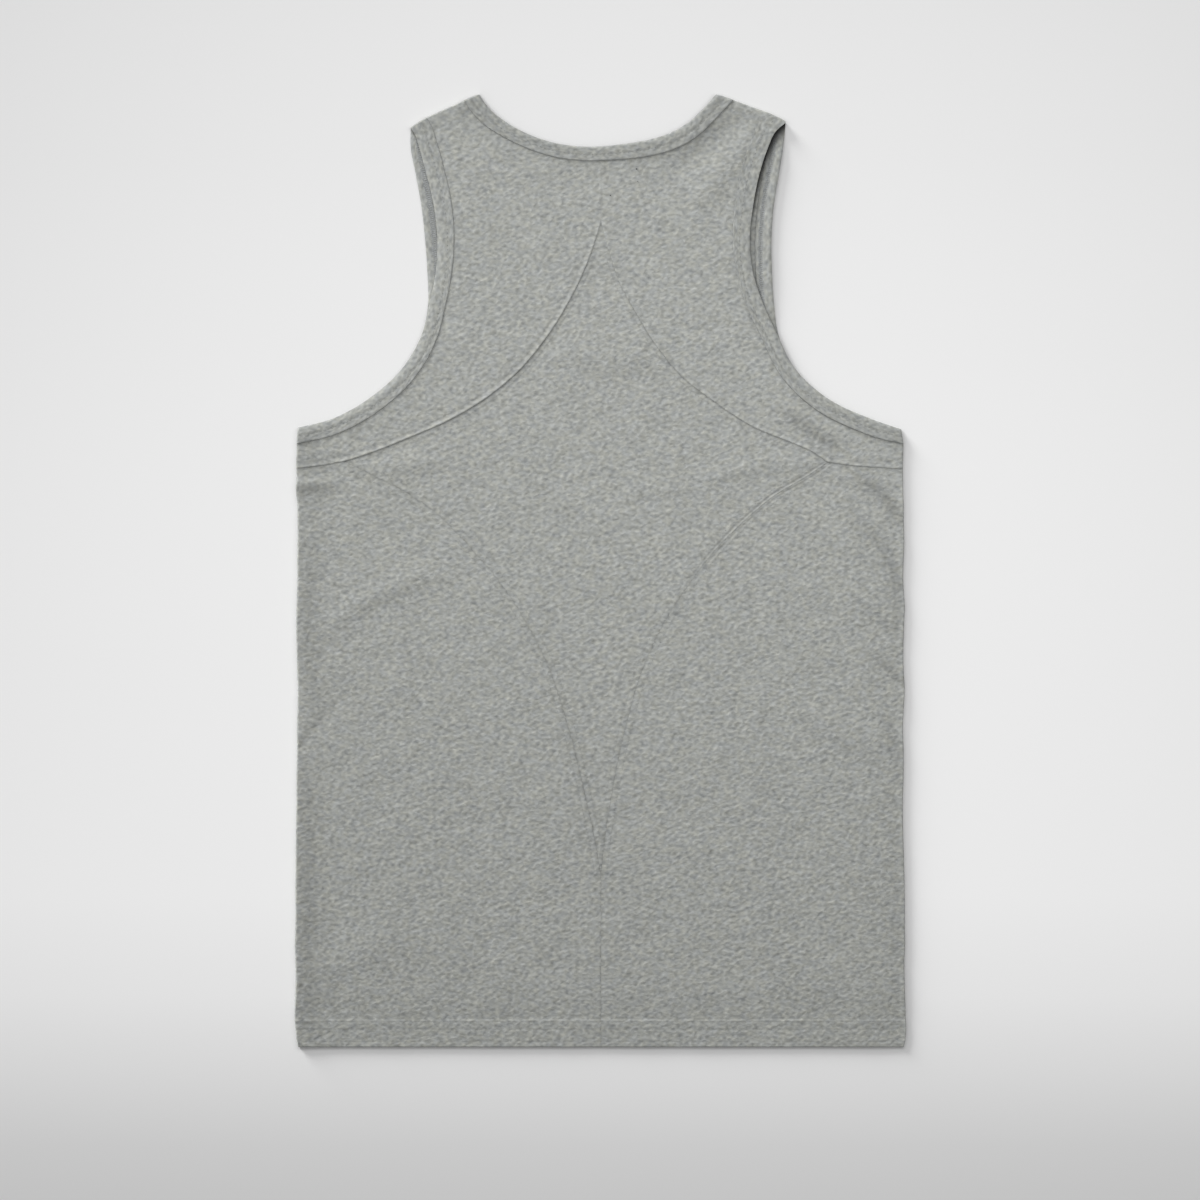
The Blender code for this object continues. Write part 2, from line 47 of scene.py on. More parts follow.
# Sizes of the garment
HALF_LENGTH = 0.3806
HEM_TOP = -0.3580
HEM_STEP = 0.0016
HEM_FINE = -0.3570
PANEL_CLOTH = 0.0012
HEM_CLOTH = 0.0015
HEM_LIP = 0.0001
BAND_CLOTH = 0.0020
SEAM_GAP = 0.00006
LAY = 0.0042
FOLD_START = 0.0014
PINCH = 0.56
HEM_RISE = 0.0003
HEM_SETTLE = 0.0014
HEM_SETTLE_REACH = 0.048
HEM_ROUND = 0.0010
FRONT_NECK_CENTRE = (-0.0030, 0.3760)
FRONT_NECK_RADII = (0.0955, 0.1180)
FRONT_NECK_ARC = np.radians(84)
NECK_EDGE_END = {"left": -0.0025, "right": -0.0028}
NECK_BAND_END = {"left": 0.0108, "right": 0.0118}
ARM_BAND = 0.0150
CORNER_DROP = 0.0015
UNDERARM_EDGE = {"left": 0.1147, "right": 0.1135}
UNDERARM_SEAM = 0.1016
SIDE_SEAM_END = {"left": 0.0819, "right": 0.0812}
BACK_APEX = (0.0, 0.2790)
LOWER_APEX = (0.0, -0.2430)
SIDE = {"left": -1, "right": 1}

# Ends of the shoulder folds: at the neck and at the arm
SHOULDER = {"left": ((-0.0998, 0.3805), (-0.1533, 0.3564)), "right": ((0.0945, 0.3805), (0.1486, 0.3607))}

# Bulge of the side folds, as a part of PINCH
SIDE_BULGE = {"left": 1.0, "right": 0.6}

# Half width at the side folds, in millimetres: height, left, right
SIDE_EDGE = (
    (-380.6, 242.4, 242.9), (-376, 243.5, 243.9), (-370, 244, 244.6), (-363, 244.6, 244.8),
    (-356, 245, 244.3), (-350, 244.9, 244.2), (-337, 244.2, 243.6), (-324, 243.9, 243.3),
    (-311, 244.2, 243.2), (-298, 244.7, 243.8), (-285, 244.2, 243.5), (-272, 244, 243.5),
    (-253, 244.2, 243.4), (-240, 244, 243.1), (-222, 243.9, 242.6), (-203, 243.7, 242), (-183, 243.4, 242),
    (-164, 243.3, 242.5), (-145, 243, 242.6), (-125, 242.9, 242), (-106, 242.4, 242.9), (-94, 242.3, 243.5),
    (-81, 242.7, 242.7), (-68, 243, 242.4), (-48, 243.5, 242.8), (-40, 243.7, 243), (-30, 243.3, 243.6),
    (-17, 242.9, 242.8), (-4, 242.5, 242.2), (9, 242.7, 242.6), (22, 242.5, 243.1), (41, 242.4, 242.7),
    (54, 242.7, 242.6), (60, 243.4, 242.3), (66, 243.8, 242.1), (73, 243, 242.1), (79, 243.3, 241.9),
    (86, 243.6, 242), (93, 243.3, 242.3), (105, 243.1, 242.4), (109, 243.2, 242.3), (111.5, 243, 241.7),
    (113.5, 242.4, 240.4),
)

# Free edge of the back's neck band, in millimetres: x, y
BACK_NECK = (
    (-92.8, 373.7), (-87.9, 368), (-78.8, 360.6), (-68.2, 353.9), (-57.5, 348.7), (-46.5, 344.6),
    (-34.1, 341.4), (-22.3, 339.6), (-10.4, 338.9), (2.2, 339.3), (14, 340.6), (25.8, 342.2), (38.4, 344.6),
    (49.9, 347.9), (60.9, 352.8), (71.6, 359.8), (80, 367.9), (85.8, 373.9),
)

# Width of the neck band, in millimetres: x, width
NECK_BAND = (
    (-95, 12.6), (-83, 12.1), (-70, 11.1), (-60, 10.9), (0, 11.4), (28, 12.7), (60, 13.6), (82, 13),
    (92, 12.3),
)

# Free edge of the armhole bands, in millimetres: height, half_width, lean, band
# The edge is at lean - half_width on the left and lean + half_width on the right. band is the band's width.
BACK_ARMHOLE = (
    (351, 144.8, -5.2, 15), (337, 139, -6, 15), (318, 133.3, -6.5, 15), (290, 127.3, -6, 14.5),
    (265, 124.8, -6, 13.5), (240, 126.6, -5.4, 13), (216, 132.6, -4, 13), (190, 141.6, -1.2, 12.6),
    (162, 156.8, -2, 12.7), (140, 180.2, -2.2, 12.9), (121, 216.9, 0.3, 13),
)
FRONT_ARMHOLE = (
    (340, 149, -3.2, 13), (318, 145.3, -2.9, 13), (290, 140.6, -2.7, 13), (265, 138.4, -2.2, 13),
    (240, 137.7, -1.1, 13), (213, 138.3, 0, 13), (190, 142.2, -0.6, 12.2), (162, 156.2, -2, 11.6),
    (140, 179.5, -2.2, 11.8), (121, 216.5, 0.3, 12.4),
)

# Curved seams of the back, in millimetres from the centre line outwards: across, height
SEAMS = {
    "upper": {
        "left": (
            (0, 279), (7, 256.5), (15, 236.5), (27, 212.6), (45, 184.6), (65, 160.6), (91, 138.7),
            (121, 120.7), (153, 106.7), (185, 94), (205, 87.5),
        ),
        "right": (
            (0, 279), (7, 253.5), (15, 230), (27, 208), (45, 179), (65, 155), (91, 134.6), (121, 115.2),
            (153, 102), (169, 95), (181, 86.8),
        ),
    },
    "side": {"left": ((205, 87.5), (223, 84.1)), "right": ((181, 86.8), (200, 84), (222, 82.5))},
    "lower": {
        "left": (
            (205, 87.5), (180, 75), (153, 61), (126, 41), (103, 17), (76.5, -15), (56.5, -47), (40.5, -80),
            (29, -115), (19.3, -150), (11.3, -185), (4.8, -215), (0, -243),
        ),
        "right": (
            (181, 86.8), (163.5, 75), (139.5, 61), (115.4, 41), (91.4, 17), (67.4, -15), (47.4, -47),
            (32.8, -80), (22.3, -115), (14, -150), (7.6, -185), (3, -215), (0, -243),
        ),
    },
}

# Folds of the back, in millimetres: start_x, start_y, end_x, end_y, bow, rise, half_width
# A positive rise is a ridge and a negative one a trough. bow is how far the middle stands off straight.
FOLDS = (
    (-232, -52, -112, 4, 8, 0.75, 9), (131, 371, 38, 297, -3, -1, 11), (125, 356, 62, 280, 0, 0.6, 10),
    (-52, 176, 52, 168, 0, 0.9, 13), (-45, 238, 45, 228, 0, -0.5, 12), (-215, 80, -105, 90, 0, 0.85, 9),
    (78, 68, 182, 84, 9, 0.55, 6), (8, 58, 100, 73, -1, 0.25, 6), (150, -108, 248, -150, 0, 0.45, 8),
    (104, -288, 226, -358, -4, 0.48, 14), (-250, -332, -140, -278, 0, 0.6, 14),
    (-150, -210, -40, -180, -4, -0.29, 18), (40, -190, 150, -214, 5, -0.29, 18),
    (-176, 16, -120, 66, 0, -0.29, 14), (-20, -20, 60, -120, 6, -0.24, 20), (-262, 69, -206, 71, 0, 0.9, 4),
    (-252, -156, -206, -100, 0, -0.6, 4), (-244, 103, -222, 104, 0, -0.2, 4),
    (-233, -280, -232, -338, 0, -0.2, 6), (140, 138, 198, 100, 0, 0.8, 5), (196, 74, 240, 22, 8, -0.9, 6),
    (190, 50, 236, -50, 12, -0.6, 6), (204, -24, 246, -66, 0, -0.4, 5), (210, -64, 248, -100, 0, -0.5, 5),
    (-6, -140, -4, -256, 0, -0.17, 9), (-244, -353, -224, -352, 0, -0.15, 3),
)

# Folds of the front that rise from the surface under it, in the same terms
FRONT_FOLDS = (
    (-190, -40, -60, 20, 6, 0.55, 12), (60, 30, 200, 66, -5, 0.45, 10), (-205, -310, -90, -270, 0, 0.5, 14),
    (80, -250, 205, -320, 4, 0.45, 13), (-60, 190, 70, 170, 5, 0.4, 14), (-120, 250, -70, 180, 0, 0.35, 10),
    (110, 240, 60, 170, 4, 0.35, 10), (-40, -120, 40, -190, 0, 0.3, 16),
)

# Painted shade in the deepest creases and along the sides, in the same terms, with a depth in place of the
# rise
PAINTED_SHADOWS = (
    (124, 368, 52, 312, -9, 0.14, 5), (124, 338, 80, 282, 0, 0.09, 6), (138, 132, 196, 92, 0, 0.24, 5.5),
    (200, 80, 246, 22, 8, 0.26, 5), (190, 56, 240, -44, 14, 0.2, 5), (236, 12, 237, -42, 0, 0.1, 4),
    (204, -20, 246, -60, 0, 0.12, 4), (212, -62, 248, -96, 0, 0.2, 4), (222, -108, 240, -175, 3, 0.12, 4.5),
    (160, -120, 245, -170, 0, 0.07, 4), (237, 30, 237, -120, 0, 0.05, 5), (237, -140, 237, -420, 0, 0.09, 6),
    (-262, 63, -204, 64, 0, 0.26, 4.5), (-258, 102, -222, 102, 0, 0.22, 3.5),
    (-228, -62, -128, -2, 5, 0.07, 4), (-234, 50, -232, -130, 0, 0.12, 8),
    (-236, -120, -234, -420, 0, 0.13, 8), (-56, 166, 56, 158, 0, 0.04, 9),
    (-215, -322, -80, -316, 0, 0.03, 12), (88, -272, 200, -352, 0, 0.04, 9), (74, 60, 184, 78, 8, 0.06, 2.5),
    (10, 56, 104, 72, 0, 0.03, 2.5), (-256, -361, -222, -361, 0, 0.15, 1),
    (-254, -365.5, -224, -365.5, 0, 0.15, 1), (150, 362, 118, 278, 0, 0.08, 14),
    (-262, 84, -206, 84, 0, 0.12, 9), (238, 130, 238, 60, 0, 0.07, 7),
)

# Lifted places of the back, in millimetres: x, y, rise, reach_x, reach_y
LIFTS = (
    (148, 352, 1.2, 13, 30), (130, 305, 1, 12, 30), (-93, 335, 0.4, 12, 12), (-150, 350, -0.3, 12, 24),
    (-134, 268, -0.9, 12, 62),
)

# How the back rises towards its folds, in millimetres: rise and reach of each part
ROLLS = {"left": ((0.95, 15),), "right": ((0.28, 3.5), (-0.4, 18)), "shoulder": ((0.8, 9),)}

# Lift of the front along its right armhole, in millimetres: rise, reach, and share of the rise by height
FRONT_LIFT = 2.4
FRONT_LIFT_REACH = 9.0
FRONT_LIFT_FADE = ((185, 0), (235, 1), (330, 1), (356, 0))

# Painted shadow that the back's armhole edge throws on the front's band: height, depth and reach in
# millimetres
UNDER_EDGE_SHADOW = {
    "left": ((120, 0, 1), (338, 0.03, 1), (350, 0.5, 1.4), (357, 0.8, 2)),
    "right": (
        (120, 0, 1), (180, 0.05, 1), (240, 0.1, 1), (272, 0.3, 1.2), (300, 0.84, 2.3), (332, 0.97, 3.8),
        (350, 0.99, 6), (361, 0.99, 7),
    ),
}

# Soft unevenness of the lay: wavelength in millimetres, direction in degrees, turn, and rise in millimetres
RIPPLES = (
    (61, 12, 0.4, 0.06), (47, 71, 2.1, 0.05), (38, 137, 4.4, 0.04), (29, 33, 1.2, 0.025),
    (24, 104, 5.6, 0.02), (19, 160, 3.3, 0.012),
)

# Beside a seam, in millimetres, where shade is painted shade that darkens the cloth's colour along the seam:
# dip, dip_width, ridge, ridge_at, ridge_width, row, row_at, row_width, shade, shade_width
YOKE_EDGE = {
    "left": (0.18, 0.3, 0.42, 0.5, 1.4, 0.09, 4.1, 0.9, 0.03, 1),
    "right": (0.22, 0.35, 0.42, 0.75, 1.4, 0.06, 4.1, 0.8, 0.06, 1),
}
MIDDLE_UPPER_EDGE = {
    "left": (0.08, 0.4, 0, 2.2, 0.8, 0.09, 4, 0.8, 0.38, 1.5),
    "right": (0.1, 0.4, 0, 2.2, 0.8, 0.05, 3.4, 0.8, 0.25, 1.1),
}
LOWER_EDGE = (0.08, 0.5, 0.05, 2.6, 1, 0.05, 4.8, 0.8, 0.16, 1.3)
YOKE_CENTRE_EDGE = (0.02, 0.6, 0, 2.4, 1, 0, 4, 1, 0.02, 1.5)
LOWER_CENTRE_EDGE = (0.04, 0.6, 0, 2.4, 1, 0, 4, 1, 0.11, 1.2)
UPPER_SIDE_EDGE = {
    "left": (0.28, 0.3, 0.3, 0.8, 1.4, 0.07, 4.6, 0.8, 0.1, 1.2),
    "right": (0.2, 0.3, 0.26, 0.8, 1.4, 0.06, 5.6, 0.8, 0.14, 1.3),
}
LOWER_SIDE_EDGE = (0.06, 0.4, 0, 2, 1, 0.02, 4, 0.8, 0.17, 1.7)
ARMHOLE_EDGE = (0.04, 0.4, 0.05, 3.3, 1.8, 0, 6, 1, 0.12, 1.8)
NECK_EDGE = {
    "left": (0.04, 0.4, 0, 3, 1, 0, 6, 1, 0.15, 1.2),
    "right": (0.04, 0.4, 0, 3, 1, 0, 6, 1, 0.27, 1.2),
}

# The right lower seam's second row of stitches on either side of it
DOUBLE_EDGE = {
    "center": (0, 1, 0.12, -0.2, 1, 0.11, 1.8, 0.9, 0, 1),
    "lower": (0, 1, 0.06, 3.8, 1, 0.1, 2.2, 0.9, 0, 1),
}

# Soft painted shade of the upper back where it falls off towards the neck seam
NECK_FALL = (0, 1, 0, 1, 1, 0, 1, 1, 0.045, 14)

# Painted shade in a row of stitches, as a part of the row's depth in millimetres
ROW_SHADE = 1.3

# Strength of a seam's relief and its painted shade: height in millimetres, strength
STEADY = ((0, 1), (1, 1))
UPPER_FADE = {
    "left": ((80, 1), (180, 1), (205, 0.85), (240, 0.75), (262, 0.6), (279, 0.4)),
    "right": ((80, 1), (195, 1), (215, 0.75), (236, 0.45), (262, 0.1)),
}
LOWER_FADE = {
    "left": ((-250, 1.1), (-80, 1.05), (-40, 0.8), (25, 0.55), (60, 1), (90, 0.3)),
    "right": ((-250, 0.8), (-120, 0.7), (-40, 0.8), (-20, 0.7), (25, 0.15), (90, 0.15)),
}
ARMHOLE_FADE = ((100, 1), (180, 1), (240, 0.6), (360, 0.5))
DOUBLE_FADE = ((-20, 0), (20, 1.1), (82, 1.4), (90, 0.6))

# Part of the seams' relief that the front's faces show
FRONT_RELIEF = 0.5

# Hem, in millimetres: height of each line, dip, half_width
HEM_LINES = ((-360.4, 0.07, 0.8), (-366.5, 0.08, 0.8), (-376.4, 0.09, 0.7))
HEM_ROWS = (-0.3604, -0.3665)
# Painted shade in the hem's grooves, as a part of their depth in millimetres
HEM_SHADE = 0.25

# Cross-section of a band from its seam to its free edge: share, rise and thickness in millimetres
BAND_PROFILE = (
    (0, -0.1, 1.2), (0.008, 0.3, 1.5), (0.022, 0.56, 1.8), (0.045, 0.68, 1.95), (0.09, 0.68, 2),
    (0.16, 0.63, 2), (0.24, 0.6, 2), (0.32, 0.56, 1.95), (0.385, 0.52, 1.95), (0.42, 0.46, 1.9),
    (0.45, 0.42, 1.9), (0.48, 0.46, 1.9), (0.515, 0.53, 1.95), (0.6, 0.58, 2), (0.68, 0.6, 2),
    (0.76, 0.59, 1.96), (0.83, 0.54, 1.86), (0.89, 0.44, 1.66), (0.935, 0.28, 1.34), (0.965, 0.12, 1),
    (0.985, -0.06, 0.62), (1, -0.25, 0.2),
)
BAND_ROW = 0.45
ROW = [share for share, _, _ in BAND_PROFILE].index(BAND_ROW)

# Share at which the row of stitches runs, by share of the band's length
NECK_ROW = ((0, 0.45), (1, 0.45))
ARM_ROW = ((0, 0.48), (0.25, 0.42), (0.5, 0.34), (0.75, 0.42), (1, 0.48))

# Part of the profile's rise on the back half: share of the length, part
BAND_RISE = {
    "neck": ((0, 0.8), (0.2, 0.9), (0.5, 1.1), (0.8, 1.2), (1, 0.9)),
    "left": ((0, 0.5), (0.2, 0.6), (0.5, 0.85), (0.8, 1), (1, 1)),
    "right": ((0, 0.1), (0.2, 0.2), (0.4, 0.7), (0.7, 1.1), (1, 1.2)),
}

# How far the edge of the back half is pressed down, where it narrows, and how it waves along its length
EDGE_DROP = {"left": 0.0006, "right": 0.0}
NARROW_FROM = 0.55
NARROW_BULGE = 0.4
PUCKER = 0.03
PUCKER_TURN = 2.4

# Painted shade of the bands: all over the neck's, and depth and reach in shares at the seam and at the row
NECK_SHADE = 0.05
SEAM_SHADE = (0.09, 0.17)
BAND_ROW_SHADE = (0.08, 0.07)

# Direction of the yarn in each panel, in degrees from across
GRAIN = {"yoke": 4, "center": 1, "lower_left": -4, "lower_right": -1, "front": 0}

# Steps of the grids
NEAR_STEPS = np.array((0.0, 0.28, 0.56, 0.86, 1.2, 1.6, 2.0, 2.5, 3.0, 3.6, 4.2, 4.9, 5.7, 6.8, 8.4)) * MM
NEAR_PART = 2.6
ALONG = 0.0022
COARSE = 0.006
FRONT_ALONG = 0.0052
CURVE_STEPS = 24
EDGE_POINTS = 60
SEAM_POINTS = 70
NECK_POINTS = 30
BACK_NECK_STEPS = 80
FRONT_NECK_STEPS = 95
BACK_ARM_POINTS = 190
FRONT_ARM_POINTS = 180
FOLD_STEPS = 9
HEM_STEPS = 45
LIP_STEPS = 6
YOKE_NECK = 52
YOKE_CENTRE = 26
YOKE_ACROSS = 34
YOKE_SHARES = (0.0, 0.26, 0.35, 0.88, 1.0)
BACK_ACROSS = 84
CENTER_LOWER = 180
FRONT_ACROSS = 110
FRONT_ARM = 96
FRONT_NECK = 75
SHARP = np.radians(40)

# Thread: radius, length and pitch of a stitch, and how far rows lie from their seams and sink into the cloth
THREAD = 0.00030
FINE_THREAD = 0.00024
STITCH = 0.0026
STITCH_PITCH = 0.0032
STITCH_SHARES = np.array((0.02, 0.18, 0.5, 0.82, 0.98))
UPPER_ROW = 0.0037
LOWER_ROW = 0.0046
CENTRE_CLEAR = 0.0042
SEAM_SINK = 0.00012
HEM_SINK = 0.00020
HEM_START = 0.0008
HEM_POINTS = 160
HEM_THREAD = 0.00026
UNDER_THREAD = 0.00022
UNDER_RISE = 0.00026
BAND_SINK = 0.00006
UP = np.array((0.0, 0.0, 1.0))

# Loops inside the front bands: pitch, step, rise, and the row of the cross-section and reach to either side
LOOP_PITCH = 0.0034
LOOP_GRAIN = 0.00045
LOOP_RISE = 0.00012
LOOPS = {"neck": (10, 0.0017), "left": (11, 0.0027), "right": (9, 0.0027)}

# Tacks, in millimetres: x, y, length, radius of the thread
TACKS = ((28.4, 321.2, 1.5, 0.55), (29.4, 311.2, 0.9, 0.26), (7.6, 300, 1, 0.32))
TACK_SLANT = 0.2
TACK_PITCH = 0.0016
TACK_RISE = 0.0002

# Jersey: dark and light fibres, contrast, height of the relief in metres
JERSEYS = {
    "marl_jersey": ((0.238, 0.244, 0.237), (0.464, 0.47, 0.445), 1.12, 0.00045),
    "band_jersey": ((0.222, 0.228, 0.222), (0.435, 0.441, 0.418), 1.1, 0.0004),
}

# Threads: dark and light plies
THREADS = {
    "sewing_thread": ((0.2, 0.205, 0.2), (0.36, 0.37, 0.355)),
    "looper_thread": ((0.29, 0.305, 0.315), (0.43, 0.445, 0.45)),
    "tack_thread": ((0.03, 0.03, 0.03), (0.07, 0.07, 0.07)),
}

# Noises of the marl: share of the fibre's length and width, detail, distortion, seed, turn in radians, amount
FIBRES = (
    (1, 1, 0, 0.35, 0, -0.45, 0.7), (0.9, 0.9, 0, 0.3, 4.9, 0.3, 0.7), (0.52, 0.55, 0, 0.3, 7.3, 0, 0.16),
    (3.3, 3.8, 1, 0.6, 3.1, 0, 0.34),
)
FIBRE_MEAN = 0.95
TINT_NOISE = (0.0060, 0.0045, 1.0, 0.4, 11.7)

# Relief of the cloth and the threads
KNIT_LEAN = 0.76
KNIT_LOOP = 0.35
KNIT_AMOUNT = 0.04
NAP_AMOUNT = 0.05
PLY_LENGTH = 0.0005
PLY_SLANT = 2.2
PLY_RELIEF = 0.00006

# Tint of the marl, and tones of the surface from the hem's side to the neck's, which are painted shade of the
# light's falloff: place, colour
TINTS = ((0.3, (0.976, 0.993, 1.02)), (0.7, (1.012, 1.008, 0.97)))
FLOOR_PAINTED_FALLOFF = (
    (0, 0.69), (1, 0.76), (0.06, 0.735), (0.12, 0.83), (0.18, 0.91), (0.26, 0.94), (0.45, 0.875), (0.7, 0.8),
    (0.85, 0.77),
)
FLOOR_SPAN = (-0.52, 0.48)
FLOOR_HALF = 6.0
# Near-black colour that the painted shade mixes the cloth's colour towards
PAINTED_SHADE_COLOUR = (0.02, 0.02, 0.02, 1.0)

# Light and camera
KEY_ENERGY = 3.97
KEY_ANGLE = 24
KEY_AZIMUTH = 130
KEY_ELEVATION = 12
BOX_ENERGY = 4.2
BOX_SIZE = (1.4, 0.55)
BOX_PLACE = (0.03, 0.30, 0.80)
BOX_TARGET = (0.03, 0.2, 0.0)
FILL = 0.368
LENS = 112.5
CAMERA_PLACE = (-0.0008, -0.0232, 3.0)


# Paths and surfaces


def bell(far):
    """exp(-far^2)."""
    return np.exp(-(far**2))


def ease(share):
    """From 0 to 1 with level ends: 3 share^2 - 2 share^3."""
    return share**2 * (3 - 2 * share)


def between(table, at, column=1):
    """A column of the table at the given values of its first column, straight between its rows."""
    columns = np.array(table).T
    return np.interp(at, columns[0], columns[column])


def lengths(path):
    """Distance along the path to each of its points."""
    steps = np.linalg.norm(np.diff(path, axis=0), axis=1)
    return np.concatenate(([0.0], np.cumsum(steps)))


def smooth(points):
    """A curve through the points: Hermite cubics whose slopes come from the neighbouring points."""
    length = lengths(points)
    slope = np.gradient(points, length, axis=0)
    at = np.linspace(0.0, length[-1], CURVE_STEPS * len(points))
    stretch = np.clip(np.searchsorted(length, at, side="right") - 1, 0, len(points) - 2)
    span = (length[stretch + 1] - length[stretch])[:, None]
    t = (at - length[stretch])[:, None] / span
    start = (1 + 2 * t) * (1 - t) ** 2 * points[stretch] + t * (1 - t) ** 2 * span * slope[stretch]
    end = t**2 * (3 - 2 * t) * points[stretch + 1] - t**2 * (1 - t) * span * slope[stretch + 1]
    return start + end


def read(path, shares, values=None):
    """Points of the path, or values given along it, at shares of its length."""
    length = lengths(path)
    at = np.asarray(shares) * length[-1]
    columns = (path if values is None else values).T
    return np.stack([np.interp(at, length, column) for column in columns], axis=-1)


def evenly(path, count):
    """The path cut into count equal stretches."""
    return read(path, np.linspace(0.0, 1.0, count + 1))


def shift(path, distance, closed=False):
    """The path moved to its left by distance, with mitred corners."""
    if closed:
        around = np.concatenate((path[-1:], path, path[:1]))
    else:
        around = np.concatenate((2 * path[:1] - path[1:2], path, 2 * path[-1:] - path[-2:-1]))
    run = np.diff(around, axis=0)
    run /= np.linalg.norm(run, axis=1, keepdims=True)
    left = np.stack((-run[:, 1], run[:, 0]), axis=1)
    before = left[:-1]
    after = left[1:]
    mitre = (before + after) / (1 + (before * after).sum(axis=1, keepdims=True))
    return path + np.reshape(distance, (-1, 1)) * mitre


def distance_to(path, points):
    """Least distance from each point to the straight stretches of the path."""
    run = np.diff(path, axis=0)
    away = points.reshape(-1, 1, 2) - path[:-1]
    share = np.clip((away * run).sum(axis=-1) / (run**2).sum(axis=-1), 0, 1)
    away -= share[..., None] * run
    return np.sqrt((away**2).sum(axis=-1).min(axis=-1)).reshape(points.shape[:-1])


def half_width(side, y):
    """Half the garment's width on one side at height y, on a smooth curve through SIDE_EDGE."""
    return between(smooth(np.array(SIDE_EDGE) * MM), y, 1 if side == "left" else 2)


def hem_share(y):
    """1 in the turned-up hem and 0 above it, with a short step between."""
    return np.clip((HEM_TOP - y) / HEM_STEP, 0, 1)


def hem_wall(y):
    """Thickness of a panel at height y, and how far its faces round in, as quarter circles, at the hem."""
    cloth = PANEL_CLOTH + (HEM_CLOTH - PANEL_CLOTH) * hem_share(y)
    share = np.clip((HEM_ROUND - y - HALF_LENGTH) / HEM_ROUND, 0, 1)
    return cloth, (1 - np.sqrt(1 - share**2)) * (cloth / 2 - HEM_LIP)


def soft_lines(points, table):
    """Sum over the table of amount * exp(-(side / half_width)^2) beside a bowed line, a sine along it."""
    x = points[..., 0] / MM
    y = points[..., 1] / MM
    total = 0.0
    for start_x, start_y, end_x, end_y, bow, amount, wide in table:
        run_x = end_x - start_x
        run_y = end_y - start_y
        length = np.hypot(run_x, run_y)
        along = np.clip(((x - start_x) * run_x + (y - start_y) * run_y) / length**2, 0, 1)
        side = ((y - start_y) * run_x - (x - start_x) * run_y) / length - 4 * bow * along * (1 - along)
        total = total + amount * bell(side / wide) * np.sin(np.pi * along)
    return total


def shoulder(side):
    """The shoulder fold: its neck end, its direction, its normal away from the garment and its length."""
    neck, arm = np.array(SHOULDER[side])
    length = np.hypot(*(arm - neck))
    run = (arm - neck) / length
    return neck, run, np.array((-run[1], run[0])) * SIDE[side], length


def shoulder_point(side, station):
    """Where the shoulder fold starts to turn over, at a distance from the neck edge."""
    neck, run, normal, _ = shoulder(side)
    return neck + run * station - normal * FOLD_START


def side_point(side, y):
    """Where the side fold starts to turn over, at height y."""
    return np.array((SIDE[side] * (half_width(side, y) - FOLD_START), y))


def outwards(kind, side):
    """Unit vector away from the garment across a side or shoulder fold."""
    return shoulder(side)[2] if kind == "shoulder" else np.array((SIDE[side], 0.0))


def height(points):
    """Outer face of the back above the surface, without its seams.

    A level lay, plus rise * exp(-(d / reach)^2) at distance d from where a side or shoulder fold starts, plus
    the folds, the lifted places, the ripples and the hem, which settles towards its edge.
    """
    x = points[..., 0]
    y = points[..., 1]
    settled = np.clip((HEM_SETTLE_REACH - y - HALF_LENGTH) / HEM_SETTLE_REACH, 0, 1)
    level = LAY + HEM_RISE * hem_share(y) - HEM_SETTLE * ease(settled)
    half = np.where(x < 0, half_width("left", y), half_width("right", y))
    from_side = half - FOLD_START - np.abs(x)
    for side in SIDE:
        from_fold = np.where((x < 0) == (side == "left"), from_side, 1.0)
        from_shoulder = (shoulder_point(side, 0.0) - points) @ outwards("shoulder", side)
        for kind, distance in ((side, from_fold), ("shoulder", from_shoulder)):
            for rise, reach in ROLLS[kind]:
                level = level + rise * MM * bell(distance / (reach * MM))
    level = level + MM * soft_lines(points, FOLDS)
    for lift_x, lift_y, rise, reach_x, reach_y in LIFTS:
        level = level + rise * MM * bell(np.hypot((x / MM - lift_x) / reach_x, (y / MM - lift_y) / reach_y))
    for wavelength, direction, turn, rise in RIPPLES:
        along = x * np.cos(np.radians(direction)) + y * np.sin(np.radians(direction))
        level = level + rise * MM * np.sin(2 * np.pi * along / (wavelength * MM) + turn)
    return level


def beside(distance, profile):
    """Relief and painted shade at a distance from a seam.

    The relief is a dip at the seam, a ridge beside it and a groove for stitches. Each is its height times
    exp(-((distance - place) / width)^2), and so is the painted shade at the seam and in the groove.
    """
    dip, dip_width, ridge, ridge_at, ridge_width, row, row_at, row_width, shade, shade_width = profile
    d = distance / MM
    groove = row * bell((d - row_at) / row_width)
    level = ridge * bell((d - ridge_at) / ridge_width) - dip * bell(d / dip_width) - groove
    return MM * level, shade * bell(d / shade_width) + ROW_SHADE * groove


def hem_lines(y):
    """Relief and painted shade of the hem: a groove along each row of stitches and inside the folded edge."""
    depth = sum(dip * bell((y / MM - line) / width) for line, dip, width in HEM_LINES)
    return -MM * depth, HEM_SHADE * depth


def relief(points, seams):
    """Seam relief and painted shade of a panel: sums over its (path, profile, fade) seams and the hem's lines.
    """
    level, dark = hem_lines(points[..., 1])
    for path, profile, fade in seams:
        rise, shade = beside(distance_to(path, points), profile)
        part = between(fade, points[..., 1] / MM)
        level = level + part * rise
        dark = dark + part * shade
    return level, dark


def painted_edge_shadow(points, side):
    """Painted shadow on the front under the back's armhole edge: depth * exp(-(distance / reach)^2)."""
    edge, _ = armhole_rails(side, BACK_ARMHOLE, EDGE_POINTS)
    table = UNDER_EDGE_SHADOW[side]
    y = points[..., 1] / MM
    return between(table, y) * bell(distance_to(edge, points) / MM / between(table, y, 2))


def front_lift(points):
    """Lift of the front along the right armhole, above the surface: rise * exp(-(distance / reach)^2)."""
    edge, _ = armhole_rails("right", FRONT_ARMHOLE, EDGE_POINTS)
    near = bell(distance_to(edge, points) / MM / FRONT_LIFT_REACH)
    return FRONT_LIFT * MM * between(FRONT_LIFT_FADE, points[..., 1] / MM) * near


